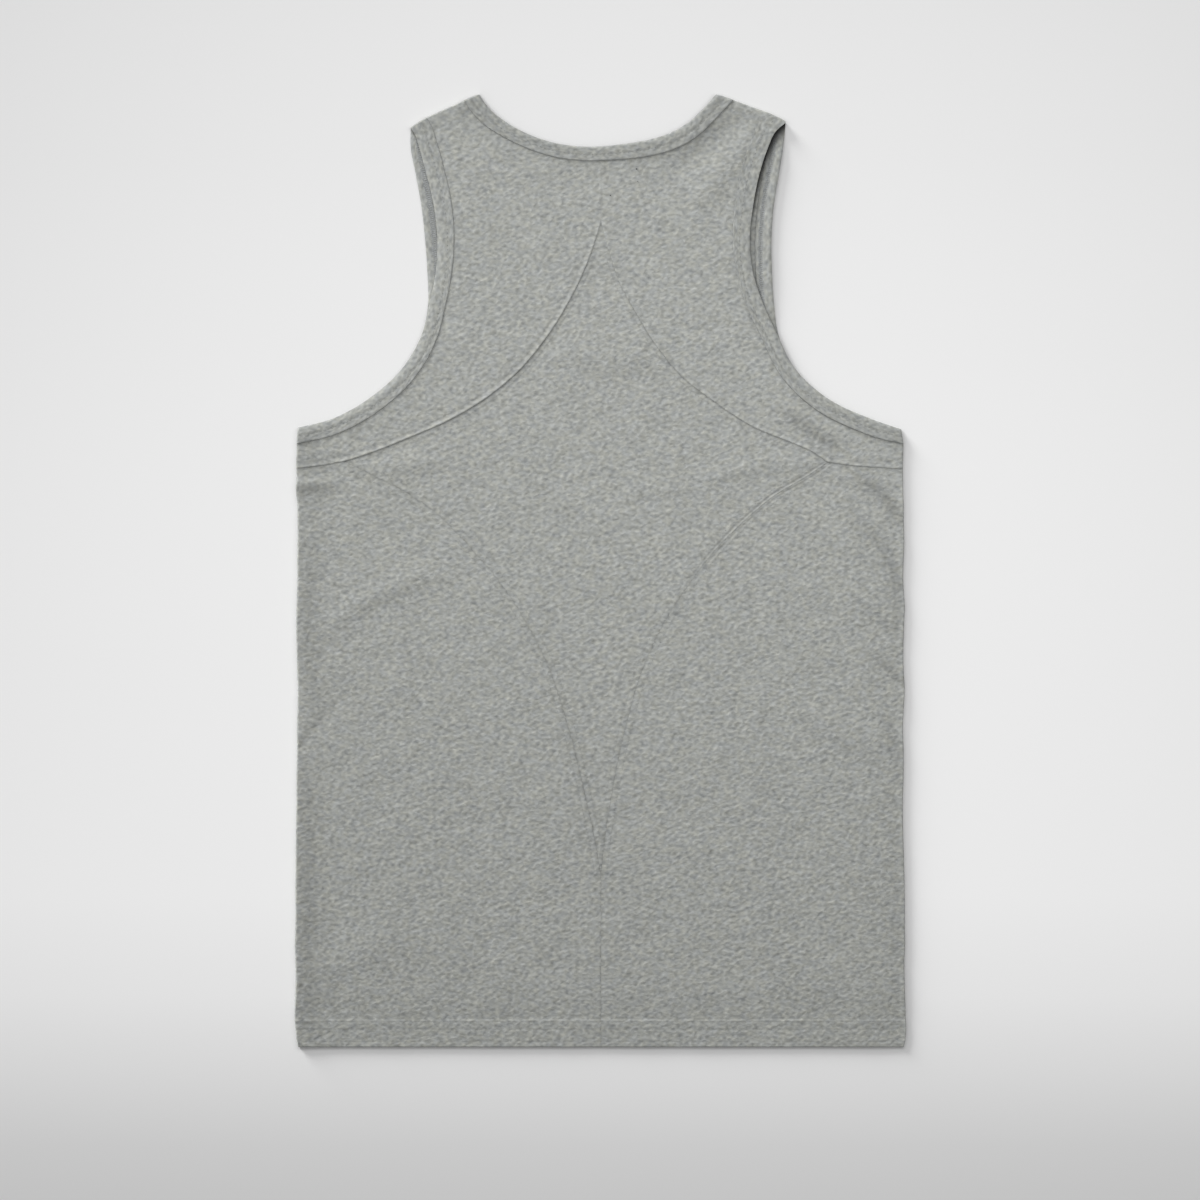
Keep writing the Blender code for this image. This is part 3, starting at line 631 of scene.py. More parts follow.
def spread(width, middle):
    """Shares of each row's width: NEAR_STEPS from either end, and middle even steps between."""
    width = np.maximum(np.reshape(width, (-1, 1)), 1e-6)
    near = NEAR_STEPS * np.minimum(1.0, width / (NEAR_PART * NEAR_STEPS[-1]))
    inside = near[:, -1:]
    between_ends = inside + (width - 2 * inside) * np.linspace(0, 1, middle + 1)[1:-1]
    return np.concatenate((near, between_ends, width - near[:, ::-1]), axis=1) / width


def rows_up(inner, outer):
    """Share of the way up at each row between two rails."""
    length = lengths(inner + outer)
    return (length / length[-1])[:, None, None]


def ruled(inner, outer, middle, first=None):
    """Rows of straight lines from inner to outer, bent towards a curved first row by nearness."""
    share = spread(np.linalg.norm(outer - inner, axis=1), middle)
    grid = inner[:, None] * (1 - share[..., None]) + outer[:, None] * share[..., None]
    if first is not None:
        grid = grid + (1 - rows_up(inner, outer)) * (read(first, share[0]) - grid[0])
    return grid


def at_height(flat, level):
    """Flat points with their height as a third coordinate."""
    return np.concatenate((flat, np.broadcast_to(level, flat.shape[:-1])[..., None]), axis=-1)


def on_cloth(flat, degrees, dark):
    """Cloth coordinates in metres, u along the yarn and v across it, and the painted shade."""
    angle = np.radians(degrees)
    turn = np.array(((np.cos(angle), -np.sin(angle)), (np.sin(angle), np.cos(angle))))
    return at_height(flat @ turn, dark)


def turned(start, across, top, cloth, angles, bulge):
    """Cloth round a fold: ellipses of half height top / 2 outside and top / 2 - cloth inside, by angle.

    start holds the flat points where the fold begins. The ellipses are PINCH * bulge times as wide as high,
    along across. The third grid holds the same points rolled out flat.
    """
    angles = np.asarray(angles)[:, None]
    radius = (top / 2)[None]

    def face(reach):
        out = (PINCH * bulge * reach * np.sin(angles))[..., None]
        return at_height(start[None] + across * out, radius + reach * np.cos(angles))

    rolled = np.minimum(angles, np.pi - angles) * radius
    return face(radius), face(radius - cloth[None]), start[None] + across * rolled[..., None]


def fold_strip(flat, patch, line, across, yarn, bulge=1.0, level=None):
    """A panel's half of a fold, from one line of its grid to just short of the seam at mid height.

    The back's half starts at the patch's own height, and the front's lies under the level of the back.
    """
    edge = [grid[line] for grid in patch]
    top = edge[0][:, 2] if level is None else level
    cloth = np.abs(edge[0][:, 2] - edge[1][:, 2])
    angles = np.linspace(0, np.pi / 2 - SEAM_GAP / top.min(), FOLD_STEPS + 1)[1:]
    if level is not None:
        angles = np.pi - angles
    outer, inner, rolled = turned(flat[line], across, top, cloth, angles, bulge)
    fold = (outer, inner, on_cloth(rolled, yarn, edge[2][:, 2]))
    return tuple(np.concatenate((first[None], rest)) for first, rest in zip(edge, fold))


# Seams and edges of the garment


def end_on(path, first, last, reach=0.02):
    """The path with both ends moved to the given points, eased along its first and last stretch."""
    length = lengths(path)
    near_first = np.clip(1 - length / reach, 0, 1)[:, None] ** 2
    near_last = np.clip(1 - (length[-1] - length) / reach, 0, 1)[:, None] ** 2
    return path + near_first * (first - path[0]) + near_last * (last - path[-1])


def neck_rails(count, back=True):
    """Edge and seam of the neck band on the back or front, in twice count steps from left to right.

    On the back, the middle point is at the centre seam. The front's edge is a part of an ellipse.
    """
    angle = np.linspace(-FRONT_NECK_ARC, FRONT_NECK_ARC, CURVE_STEPS + 1)
    ellipse = FRONT_NECK_CENTRE + np.stack((np.sin(angle), -np.cos(angle)), axis=-1) * FRONT_NECK_RADII
    first, last = (shoulder_point(side, NECK_EDGE_END[side]) for side in SIDE)
    path = smooth(np.vstack((first, np.array(BACK_NECK) * MM if back else ellipse, last)))
    middle = np.interp(0.0, path[:, 0], lengths(path)) / lengths(path)[-1] if back else 0.5
    shares = np.concatenate((np.linspace(0, middle, count + 1), np.linspace(middle, 1, count + 1)[1:]))
    edge = read(path, shares)
    seam = shift(edge, -MM * between(NECK_BAND, edge[:, 0] / MM))
    return edge, end_on(seam, *(shoulder_point(side, NECK_BAND_END[side]) for side in SIDE))


def armhole_rails(side, rows, shares):
    """Edge and seam of an armhole band from the shoulder to the side, at shares or a count of points."""
    if np.isscalar(shares):
        shares = np.linspace(0, 1, shares)
    level, half, lean, width = (np.array(rows) * MM).T
    table = np.stack((lean + SIDE[side] * half, level), axis=-1)
    _, _, normal, length = shoulder(side)
    top = shoulder_point(side, length) - normal * CORNER_DROP
    edge = read(smooth(np.vstack((top, table, side_point(side, UNDERARM_EDGE[side])))), shares)
    seam = shift(edge, -SIDE[side] * np.interp(-edge[:, 1], -level, width))
    return edge, end_on(seam, shoulder_point(side, length - ARM_BAND), side_point(side, UNDERARM_SEAM))


def back_seam(kind, side, step=ALONG):
    """A seam of the back on one side, in even steps.

    upper runs from the top of the middle panel out to where all three meet, side from there out to the side
    fold, and lower from there down to the foot of the middle panel.
    """
    path = np.array(SEAMS[kind][side]) * MM
    path[:, 0] *= SIDE[side]
    if kind == "side":
        path = np.vstack((path, side_point(side, SIDE_SEAM_END[side])))
    path = smooth(path)
    return evenly(path, round(lengths(path)[-1] / step))


# Meshes


def placed(name, data):
    """An object with the data, in the scene."""
    made = bpy.data.objects.new(name, data)
    bpy.context.scene.collection.objects.link(made)
    return made


def cloth_body(name, patches, material, slot="marl_jersey"):
    """A closed body from (outer, inner, cloth) grids: both faces, and a rim along each free edge.

    Each square is two triangles. Points that meet are one vertex. cloth holds u, v and painted shade.
    """
    outer, inner, cloth = (np.concatenate([grid.reshape(-1, 3) for grid in grids]) for grids in zip(*patches))
    squares = []
    start = 0
    for grid, *_ in patches:
        index = start + np.arange(grid.size // 3).reshape(grid.shape[:2])
        corners = (index[:-1, :-1], index[:-1, 1:], index[1:, 1:], index[1:, :-1])
        squares.append(np.stack(corners, axis=-1).reshape(-1, 4))
        start += index.size
    squares = np.concatenate(squares)
    source = np.concatenate((squares[:, (0, 1, 2)], squares[:, (0, 2, 3)]))
    _, first, place = np.unique(np.round(outer, 7), axis=0, return_index=True, return_inverse=True)
    faces = place.reshape(-1)[source]
    whole = (faces != np.roll(faces, 1, axis=1)).all(axis=1)
    faces = faces[whole]
    source = source[whole]
    around = ((0, 1), (1, 2), (2, 0))
    edges = faces[:, around].reshape(-1, 2)
    _, index, times = np.unique(np.sort(edges, axis=1), axis=0, return_index=True, return_counts=True)
    free = index[times == 1]
    start, end = edges[free].T
    rim_source = source[:, around].reshape(-1, 2)[free]
    count = len(first)
    faces = (
        faces,
        faces[:, ::-1] + count,
        np.stack((end, start, start + count), axis=-1),
        np.stack((end, start + count, end + count), axis=-1),
    )
    source = (source, source[:, ::-1], rim_source[:, (1, 0, 0)], rim_source[:, (1, 0, 1)])
    vertices = np.concatenate((outer[first], inner[first]))
    corners = cloth[np.concatenate(source), :2]
    mesh = (name + "_jersey", vertices, np.concatenate(faces), corners, np.tile(cloth[first, 2], 2))
    finished(triangle_mesh(*mesh), material, slot, name)


def triangle_mesh(name, vertices, faces, cloth, shade=None):
    """A mesh of triangles with its cloth map and painted shade, its faces turned outwards."""
    mesh = bpy.data.meshes.new(name)
    mesh.from_pydata(vertices, [], faces)
    mesh.uv_layers.new(name="cloth")
    mesh.uv_layers["cloth"].data.foreach_set("uv", cloth.ravel())
    if shade is not None:
        mesh.attributes.new("shade", "FLOAT", "POINT")
        mesh.attributes["shade"].data.foreach_set("value", shade)
    body = bmesh.new()
    body.from_mesh(mesh)
    bmesh.ops.recalc_face_normals(body, faces=body.faces)
    body.to_mesh(mesh)
    body.free()
    mesh.shade_smooth()
    mesh.set_sharp_from_angle(angle=SHARP)
    return mesh


def finished(mesh, material, slot, *nodes):
    """The mesh as a piece in its place, riding on the garment."""
    piece = placed(mesh.name, mesh)
    mesh.materials.append(material)
    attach(piece, "root")
    if nodes:
        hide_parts(*nodes)


# Panels


def over_back(flat, seams, yarn):
    """Outer and inner face of a panel of the back, and its cloth coordinates with the painted shade."""
    cloth, away = hem_wall(flat[..., 1])
    rise, dark = relief(flat, seams)
    top = height(flat) + rise
    # Painted shade in the deepest creases and along the sides
    dark = dark + soft_lines(flat, PAINTED_SHADOWS)
    return at_height(flat, top - away), at_height(flat, top - cloth + away), on_cloth(flat, yarn, dark)


def yoke_seams(side):
    """Seams round the upper back of one side, with their relief."""
    _, neck = neck_rails(CURVE_STEPS)
    _, arm = armhole_rails(side, BACK_ARMHOLE, SEAM_POINTS)
    return (
        (neck, NECK_EDGE[side], STEADY),
        (neck, NECK_FALL, STEADY),
        (np.array((neck[CURVE_STEPS], BACK_APEX)), YOKE_CENTRE_EDGE, STEADY),
        (back_seam("upper", side, COARSE), YOKE_EDGE[side], UPPER_FADE[side]),
        (back_seam("side", side, COARSE), UPPER_SIDE_EDGE[side], STEADY),
        (arm, ARMHOLE_EDGE, ARMHOLE_FADE),
    )


def back_yoke(side, material):
    """Upper back of one side: rows run from the neck, centre and upper seams out to the armhole seam."""
    gap = SIDE[side] * SEAM_GAP / 2
    _, neck = neck_rails(YOKE_NECK)
    neck = neck[: YOKE_NECK + 1] if side == "left" else neck[YOKE_NECK:][::-1]
    centre = evenly(np.array((neck[-1], BACK_APEX)), YOKE_CENTRE)
    parts = (neck, centre[1:], back_seam("upper", side)[1:], back_seam("side", side)[1:])
    inner = shift(np.concatenate(parts), gap)
    ends = np.cumsum([0] + [len(part) for part in parts]) - 1
    shares = np.interp(np.arange(len(inner)), np.maximum(ends, 0), YOKE_SHARES)
    _, outer = armhole_rails(side, BACK_ARMHOLE, shares)
    flat = ruled(inner, shift(outer, -gap), YOKE_ACROSS)
    flat[-1] = side_point(side, flat[-1, :, 1]).T
    yarn = GRAIN["yoke"]
    patch = over_back(flat, yoke_seams(side), yarn)
    first = [grid[::-1] for grid in fold_strip(flat, patch, 0, outwards("shoulder", side), yarn)]
    last = fold_strip(flat, patch, -1, outwards("side", side), yarn, SIDE_BULGE[side])
    cloth_body("back_yoke_" + side, [patch, first, last], material)


def center_seams():
    """Seams round the middle panel, with their relief."""
    seams = [(back_seam("lower", "right", COARSE), DOUBLE_EDGE["center"], DOUBLE_FADE)]
    for side in SIDE:
        seams.append((back_seam("upper", side, COARSE), MIDDLE_UPPER_EDGE[side], UPPER_FADE[side]))
        seams.append((back_seam("lower", side, COARSE), LOWER_EDGE, LOWER_FADE[side]))
    return seams


def back_center(material):
    """Middle of the back: rows run across between the curved seams of both sides."""
    count = max(round(lengths(back_seam("upper", side))[-1] / ALONG) for side in SIDE)
    rails = []
    for side in SIDE:
        lower = evenly(back_seam("lower", side), CENTER_LOWER)
        rails.append(np.concatenate((evenly(back_seam("upper", side), count), lower[1:])))
    loop = shift(np.concatenate((rails[0], rails[1][-2:0:-1])), SEAM_GAP / 2, closed=True)
    rows = len(rails[0])
    right = np.concatenate((loop[:1], loop[rows:][::-1], loop[rows - 1 : rows]))
    flat = ruled(loop[:rows], right, BACK_ACROSS)
    cloth_body("back_center", [over_back(flat, center_seams(), GRAIN["center"])], material)


def lower_seams(side):
    """Seams round the lower back of one side, with their relief."""
    lower = back_seam("lower", side, COARSE)
    seams = [
        (lower, LOWER_EDGE, LOWER_FADE[side]),
        (back_seam("side", side, COARSE), LOWER_SIDE_EDGE, STEADY),
        (np.array((LOWER_APEX, (0.0, -HALF_LENGTH))), LOWER_CENTRE_EDGE, STEADY),
    ]
    if side == "right":
        seams.append((lower, DOUBLE_EDGE["lower"], DOUBLE_FADE))
    return seams


def hem_heights(top, step):
    """Heights from the top down to the hem's edge: even steps, then half a millimetre in the hem."""
    above = np.linspace(top, HEM_FINE, max(2, round((top - HEM_FINE) / step)) + 1)
    hem = np.linspace(HEM_FINE, -HALF_LENGTH + HEM_ROUND, HEM_STEPS + 1)[1:]
    edge = -HALF_LENGTH + HEM_ROUND * (1 - np.sin(np.linspace(0, np.pi / 2, LIP_STEPS + 1)[1:]))
    return np.concatenate((above, hem, edge))


def back_lower(side, material):
    """Lower back of one side: rows run from the lower and centre seams out round the side fold."""
    below = hem_heights(LOWER_APEX[1], ALONG)[1:]
    centre = np.stack((0 * below, below), axis=-1)
    top = back_seam("side", side)
    edge = np.concatenate((top[::-1], back_seam("lower", side)[1:], centre))
    edge = shift(edge, SIDE[side] * SEAM_GAP / 2)
    first = edge[: len(top)][::-1]
    inner = edge[len(top) - 1 :]
    inner[-1, 1] = -HALF_LENGTH
    drop = inner[:, 1].copy()
    last = len(drop) - len(below)
    foot = drop[last - 1]
    drop[:last] = np.interp(drop[:last], (foot, inner[0, 1]), (foot, first[-1, 1]))
    flat = ruled(inner, side_point(side, drop).T, BACK_ACROSS, first)
    yarn = GRAIN["lower_" + side]
    patch = over_back(flat, lower_seams(side), yarn)
    fold = fold_strip(flat, patch, (slice(None), -1), outwards("side", side), yarn, SIDE_BULGE[side])
    cloth_body("back_lower_" + side, [patch, [grid.transpose(1, 0, 2) for grid in fold]], material)


def front_seams():
    """Seams round the front, with their relief."""
    seams = [(neck_rails(NECK_POINTS, back=False)[1], NECK_EDGE["right"], STEADY)]
    for side in SIDE:
        seams.append((armhole_rails(side, FRONT_ARMHOLE, SEAM_POINTS)[1], ARMHOLE_EDGE, STEADY))
    return seams


def front_panel(material):
    """The front in one piece: rows run across, from the hem up to the shoulders and the neck seam.

    Its underside lies on the surface, apart from its folds, its grooves and the lift along the right armhole.
    """
    heights = hem_heights(UNDERARM_SEAM, FRONT_ALONG)[::-1]
    heights[-1] = UNDERARM_SEAM
    rails = []
    for side in SIDE:
        _, seam = armhole_rails(side, FRONT_ARMHOLE, FRONT_ARM)
        seam = shift(seam, -SIDE[side] * SEAM_GAP / 2)[::-1]
        rails.append(np.concatenate((side_point(side, heights).T[:-1], seam)))
    _, neck = neck_rails(FRONT_NECK, back=False)
    last = np.vstack((rails[0][-1], shift(neck, -SEAM_GAP / 2), rails[1][-1]))
    length = lengths(last)
    corners = length[[1, -2]] / length[-1]
    share = spread(length[-1], FRONT_ACROSS)[0]
    nearest = [np.abs(share - corner).argmin() for corner in corners]
    share[nearest] = corners
    flat = ruled(*rails, FRONT_ACROSS)
    flat = flat + rows_up(*rails) * (read(last, share) - flat[-1])
    cloth, away = hem_wall(flat[..., 1])
    level, dark = relief(flat, front_seams())
    # Painted shadow under the back's armhole edges
    for side in SIDE:
        dark = np.maximum(dark, painted_edge_shadow(flat, side))
    yarn = GRAIN["front"]
    lift = front_lift(flat) + MM * soft_lines(flat, FRONT_FOLDS)
    outer = at_height(flat, lift + FRONT_RELIEF * np.maximum(0.0, -level) + away)
    inner = at_height(flat, lift + cloth + FRONT_RELIEF * level - away)
    patch = (outer, inner, on_cloth(flat, yarn, dark))
    patches = [patch]
    for side, column, columns in zip(SIDE, (0, -1), (slice(0, nearest[0] + 1), slice(nearest[1], None))):
        line = (slice(0, len(heights)), column)
        level = height(flat[line]) + hem_lines(flat[line][:, 1])[0] - away[line]
        patches.append(fold_strip(flat, patch, line, outwards("side", side), yarn, SIDE_BULGE[side], level))
        line = (-1, columns)
        level = height(flat[line])
        patches.append(fold_strip(flat, patch, line, outwards("shoulder", side), yarn, level=level))
    cloth_body("front_panel", patches, material)


# Bands


def band_half(edge, seam, rows):
    """Flat points across half a band from its seam to its free edge, the row of stitches at its own share."""
    at = between(rows, np.linspace(0, 1, len(edge)))[:, None]
    share = np.array(BAND_PROFILE)[:, 0]
    above = at + (share - BAND_ROW) * (1 - at) / (1 - BAND_ROW)
    share = np.where(share < BAND_ROW, share * at / BAND_ROW, above)[..., None]
    return seam[:, None] * (1 - share) + edge[:, None] * share


def band(kind, jersey_material, thread, loose):
    """A band all round the neck or an armhole: over the back, round a fold, along the front, round a fold.

    BAND_PROFILE gives its rise and thickness across. u runs along the band and v across it. A row of stitches
    follows it, with loops on the inside of its front half.
    """
    side = kind if kind in SIDE else None
    if side:
        name = "armhole_band_" + side
        halves = ((BACK_ARMHOLE, BACK_ARM_POINTS), (FRONT_ARMHOLE, FRONT_ARM_POINTS))
        rails = [armhole_rails(side, *half) for half in halves]
        ends = (("side", side), ("shoulder", side))
    else:
        name = "neck_band"
        rails = (neck_rails(BACK_NECK_STEPS), neck_rails(FRONT_NECK_STEPS, back=False))
        ends = (("shoulder", "right"), ("shoulder", "left"))
    gap = SIDE.get(side, 1) * SEAM_GAP / 2
    rows = ARM_ROW if side else NECK_ROW
    back, front = (band_half(edge, shift(seam, gap), rows) for edge, seam in rails)
    front = front[::-1].copy()
    front[0] = back[-1]
    front[-1] = back[0]
    share, rise, cloth = (np.array(BAND_PROFILE) * (1, MM, MM)).T
    part = between(BAND_RISE[kind], np.linspace(0, 1, len(back)))[:, None]
    pucker = PUCKER * MM * np.sin(np.arange(len(back)) * PUCKER_TURN)[:, None]
    narrow = ease(np.clip((share - NARROW_FROM) / (1 - NARROW_FROM), 0, 1))
    level = height(back) + rise * part + pucker - EDGE_DROP.get(side, 0.0) * narrow
    half_way = np.linspace(0, np.pi, 2 * FOLD_STEPS)[1:-1]
    bulge = 1 - NARROW_BULGE * narrow
    end_bulge = SIDE_BULGE.get(side, bulge)
    over_end = turned(back[-1], outwards(*ends[0]), level[-1], cloth, half_way, end_bulge)
    over_start = turned(back[0], outwards(*ends[1]), level[0], cloth, half_way[::-1], bulge)
    lift = front_lift(front) + np.maximum(0.0, (BAND_CLOTH - cloth) / 2)
    under = (at_height(front, lift), at_height(front, lift + cloth))
    top = (at_height(back, level), at_height(back, level - cloth))
    closed = [np.concatenate((*faces, faces[0][:1])) for faces in zip(top, over_end, under, over_start)]
    outer, inner = closed
    along = lengths(outer[:, outer.shape[1] // 2])
    across = lengths(outer[0])
    share = across / across[-1]
    # Painted shade of the band: all over the neck's, at the seam and the row, in the creases and under the
    # back's armhole edge
    dark = 0.0 if side else NECK_SHADE
    for place, (depth, reach) in ((0.0, SEAM_SHADE), (BAND_ROW, BAND_ROW_SHADE)):
        dark = dark + depth * bell((share - place) / reach)
    dark = np.tile(dark, (len(outer), 1))
    dark[: len(back)] += soft_lines(back, PAINTED_SHADOWS)
    start = len(back) + len(half_way)
    end = start + len(front)
    if side:
        dark[start:end] = np.maximum(dark[start:end], painted_edge_shadow(front, side))
    cloth_map = np.stack(np.broadcast_arrays(along[:, None], across[None], dark), axis=-1)
    cloth_body(name, [(outer, inner, cloth_map)], jersey_material, "band_jersey")
    parts = [stitch_run(outer[: len(back), ROW] - UP * BAND_SINK, UP)]
    parts.append(stitch_run(outer[start : end - 1, ROW] + UP * THREAD, -UP))
    thread_piece(name.replace("band", "stitches"), parts, thread, "band_jersey")
    row, reach = LOOPS[kind]
    parts = loops(inner[start : end - 1, row], reach)
    thread_piece(name.replace("band", "loops"), parts, loose, "band_jersey", side)


# Threads


def frames_along(path, up):
    """Unit vectors along a path of points, to its side and up from the cloth."""
    along = np.gradient(path, axis=0)
    along /= np.linalg.norm(along, axis=1, keepdims=True)
    side = np.cross(up, along)
    side /= np.linalg.norm(side, axis=1, keepdims=True)
    return along, side, np.cross(along, side)


def tube_faces(levels, sides):
    """Triangles of a closed tube: two for each square between its rings, and a fan at either end."""
    index = np.arange(levels * sides).reshape(levels, sides)
    after = np.roll(index, -1, axis=1)
    fan = np.arange(1, sides - 1)
    cap = np.stack((0 * fan, fan + 1, fan), axis=-1)
    walls = np.stack((index[:-1], after[:-1], after[1:], index[:-1], after[1:], index[1:]), axis=-1)
    return np.concatenate((walls.reshape(-1, 3), cap, cap[:, ::-1] + sides * (levels - 1)))


def stitch_run(path, up, pitch=STITCH_PITCH, long=STITCH, radius=THREAD):
    """Separate stitches along a path: rounded rods of six sides that dip into the cloth at both ends.

    At share s of a rod its radius is radius * sin(pi * s)^0.35, and it drops by 1.5 * radius * (2s - 1)^4.
    """
    total = lengths(path)[-1]
    count = max(1, int(total / pitch))
    at = (np.arange(count) + 0.5) / count
    centre = read(path, at)
    axes = np.stack([read(path, at, axis) for axis in frames_along(path, up)], axis=1)
    share = STITCH_SHARES[:, None]
    turn = np.arange(6) * np.pi / 3
    girth = radius * np.sin(np.pi * share) ** 0.35
    drop = 1.5 * radius * (2 * share - 1) ** 4
    rod = np.broadcast_arrays((share - 0.5) * long, girth * np.cos(turn), girth * np.sin(turn) - drop)
    rod = np.stack(rod, axis=-1).reshape(-1, 3)
    vertices = centre[:, None] + np.einsum("vk,nkc->nvc", rod, axes)
    faces = tube_faces(len(share), 6) + np.arange(count)[:, None, None] * len(rod)
    cloth = rod[:, :2] + np.stack((at * total, 0 * at), axis=-1)[:, None]
    return vertices.reshape(-1, 3), faces.reshape(-1, 3), cloth.reshape(-1, 2)


def thread_tube(path, up, radius):
    """A closed round thread of five sides along a path of points."""
    _, side, above = frames_along(path, up)
    turn = np.arange(5) * 2 * np.pi / 5
    ring = side[:, None] * np.cos(turn)[:, None] + above[:, None] * np.sin(turn)[:, None]
    vertices = path[:, None] + radius * ring
    cloth = np.stack(np.broadcast_arrays(lengths(path)[:, None], turn * radius), axis=-1)
    return vertices.reshape(-1, 3), tube_faces(len(path), 5), cloth.reshape(-1, 2)


def loops(line, reach):
    """Two threads that cross from side to side of a line: side = reach * a triangle wave along it."""
    total = lengths(line)[-1]
    at = np.linspace(0.0, 1.0, int(total / LOOP_GRAIN))
    centre = read(line, at)
    _, side, _ = frames_along(centre, UP)
    parts = []
    for turn in (0.0, 0.5):
        swing = 2 * np.abs(2 * ((at * total / LOOP_PITCH + turn) % 1.0) - 1) - 1
        path = centre + side * (reach * swing)[:, None] + UP * LOOP_RISE
        parts.append(thread_tube(path, UP, FINE_THREAD))
    return parts


def thread_piece(name, parts, material, slot="marl_jersey", under=None):
    """One piece from several runs of thread, with the painted shadow under the back's edge of one armhole."""
    vertices, faces, cloth = zip(*parts)
    starts = np.cumsum([0] + [len(part) for part in vertices[:-1]])
    faces = np.concatenate([part + start for part, start in zip(faces, starts)])
    vertices = np.concatenate(vertices)
    shade = painted_edge_shadow(vertices[:, :2], under) if under else None
    finished(triangle_mesh(name, vertices, faces, np.concatenate(cloth)[faces], shade), material, slot)


def on_back(path, seams, sink):
    """A flat path laid on the back's outer face, sunk into it by a distance."""
    return at_height(path, height(path) + relief(path, seams)[0] - sink)


def seam_stitches(material):
    """Rows of stitches beside the curved seams of the back."""
    parts = []
    for side, sign in SIDE.items():
        for kind, seams, offset in (
            ("upper", center_seams(), -UPPER_ROW),
            ("lower", center_seams(), -LOWER_ROW),
            ("lower", lower_seams(side), LOWER_ROW),
        ):
            line = shift(back_seam(kind, side), sign * offset)
            line = line[3:-4] if offset < 0 else line[2:-2]
            line = line[np.abs(line[:, 0]) > CENTRE_CLEAR]
            parts.append(stitch_run(on_back(line, seams, SEAM_SINK), UP, radius=FINE_THREAD))
    thread_piece("seam_stitches", parts, material)


def hem_stitches(material):
    """Two rows of stitches along the hem, on the back and on the underside of the front."""
    parts = []
    for level in HEM_ROWS:
        for side in SIDE:
            x = np.linspace(HEM_START, half_width(side, level) - FOLD_START, HEM_POINTS) * SIDE[side]
            line = np.stack((x, np.full_like(x, level)), axis=-1)
            parts.append(stitch_run(on_back(line, lower_seams(side), HEM_SINK), UP, radius=HEM_THREAD))
            parts.append(stitch_run(at_height(line, UNDER_RISE), -UP, radius=UNDER_THREAD))
    thread_piece("hem_stitches", parts, material)


def tack_stitches(material):
    """Three small tacks below the neck, left from a sewn-in strip inside."""
    parts = []
    for x, y, run, thick in TACKS:
        line = np.array(((x - run / 2, y - TACK_SLANT), (x, y), (x + run / 2, y + TACK_SLANT))) * MM
        line = on_back(evenly(line, 4), yoke_seams("right"), -TACK_RISE)
        parts.append(stitch_run(line, UP, TACK_PITCH, run * MM, thick * MM))
    thread_piece("tack_stitches", parts, material)


# Materials


def give(tree, node, values):
    """Gives a node's inputs their values, by name or by i and number. A value that is a socket is linked."""
    for key, value in values.items():
        socket = node.inputs[int(key[1:]) if key[1:].isdigit() else key.replace("_", " ")]
        if isinstance(value, bpy.types.NodeSocket):
            tree.links.new(value, socket)
        else:
            socket.default_value = value


def add(tree, kind, settings=None, **values):
    """A shader node with its settings and its inputs."""
    made = tree.nodes.new("ShaderNode" + kind)
    for key, value in (settings or {}).items():
        setattr(made, key, value)
    give(tree, made, values)
    return made


def maths(tree, operation, *values):
    """The result of a Math node."""
    inputs = {f"i{number}": value for number, value in enumerate(values)}
    return add(tree, "Math", {"operation": operation}, **inputs).outputs[0]


def weighted(tree, *parts):
    """Sum of values times their amounts."""
    total = 0.0
    for value, amount in parts:
        total = maths(tree, "MULTIPLY_ADD", value, amount, total)
    return total


def mix(tree, share, first, second, blend="MIX"):
    """Two colours mixed or multiplied by a share."""
    settings = {"data_type": "RGBA", "blend_type": blend}
    return add(tree, "Mix", settings, i0=share, i6=first, i7=second).outputs[2]


def ramp(tree, value, stops):
    """A colour ramp through stops of place and colour, whose first two are its outermost."""
    made = add(tree, "ValToRGB", Fac=value)
    elements = made.color_ramp.elements
    for index, (at, colour) in enumerate(stops):
        element = elements[index] if index < 2 else elements.new(at)
        element.position = at
        element.color = (*colour, 1.0)
    return made.outputs[0]


def new_group(name, inputs, outputs):
    """An empty shader group with named sockets: its tree, its input sockets and its output node."""
    tree = bpy.data.node_groups.new(name, "ShaderNodeTree")
    for label, kind, *value in inputs:
        socket = tree.interface.new_socket(label, in_out="INPUT", socket_type="NodeSocket" + kind)
        if value:
            socket.default_value = value[0]
    for label, kind in outputs:
        tree.interface.new_socket(label, in_out="OUTPUT", socket_type="NodeSocket" + kind)
    return tree, tree.nodes.new("NodeGroupInput").outputs, tree.nodes.new("NodeGroupOutput").inputs


def noise(tree, cloth, length, width, detail, distortion, seed, turn=0.0, roughness=0.5):
    """Noise stretched to length by width metres at a turn from the yarn, about 0.5."""
    cloth = add(tree, "VectorRotate", {"rotation_type": "Z_AXIS"}, Vector=cloth, Angle=turn).outputs[0]
    parts = add(tree, "SeparateXYZ", i0=cloth).outputs
    u = maths(tree, "DIVIDE", parts[0], length)
    v = maths(tree, "DIVIDE", parts[1], width)
    place = add(tree, "CombineXYZ", i0=u, i1=v, i2=seed).outputs[0]
    looks = {"Scale": 1.0, "Detail": detail, "Roughness": roughness, "Distortion": distortion}
    return add(tree, "TexNoise", Vector=place, **looks).outputs["Fac"]


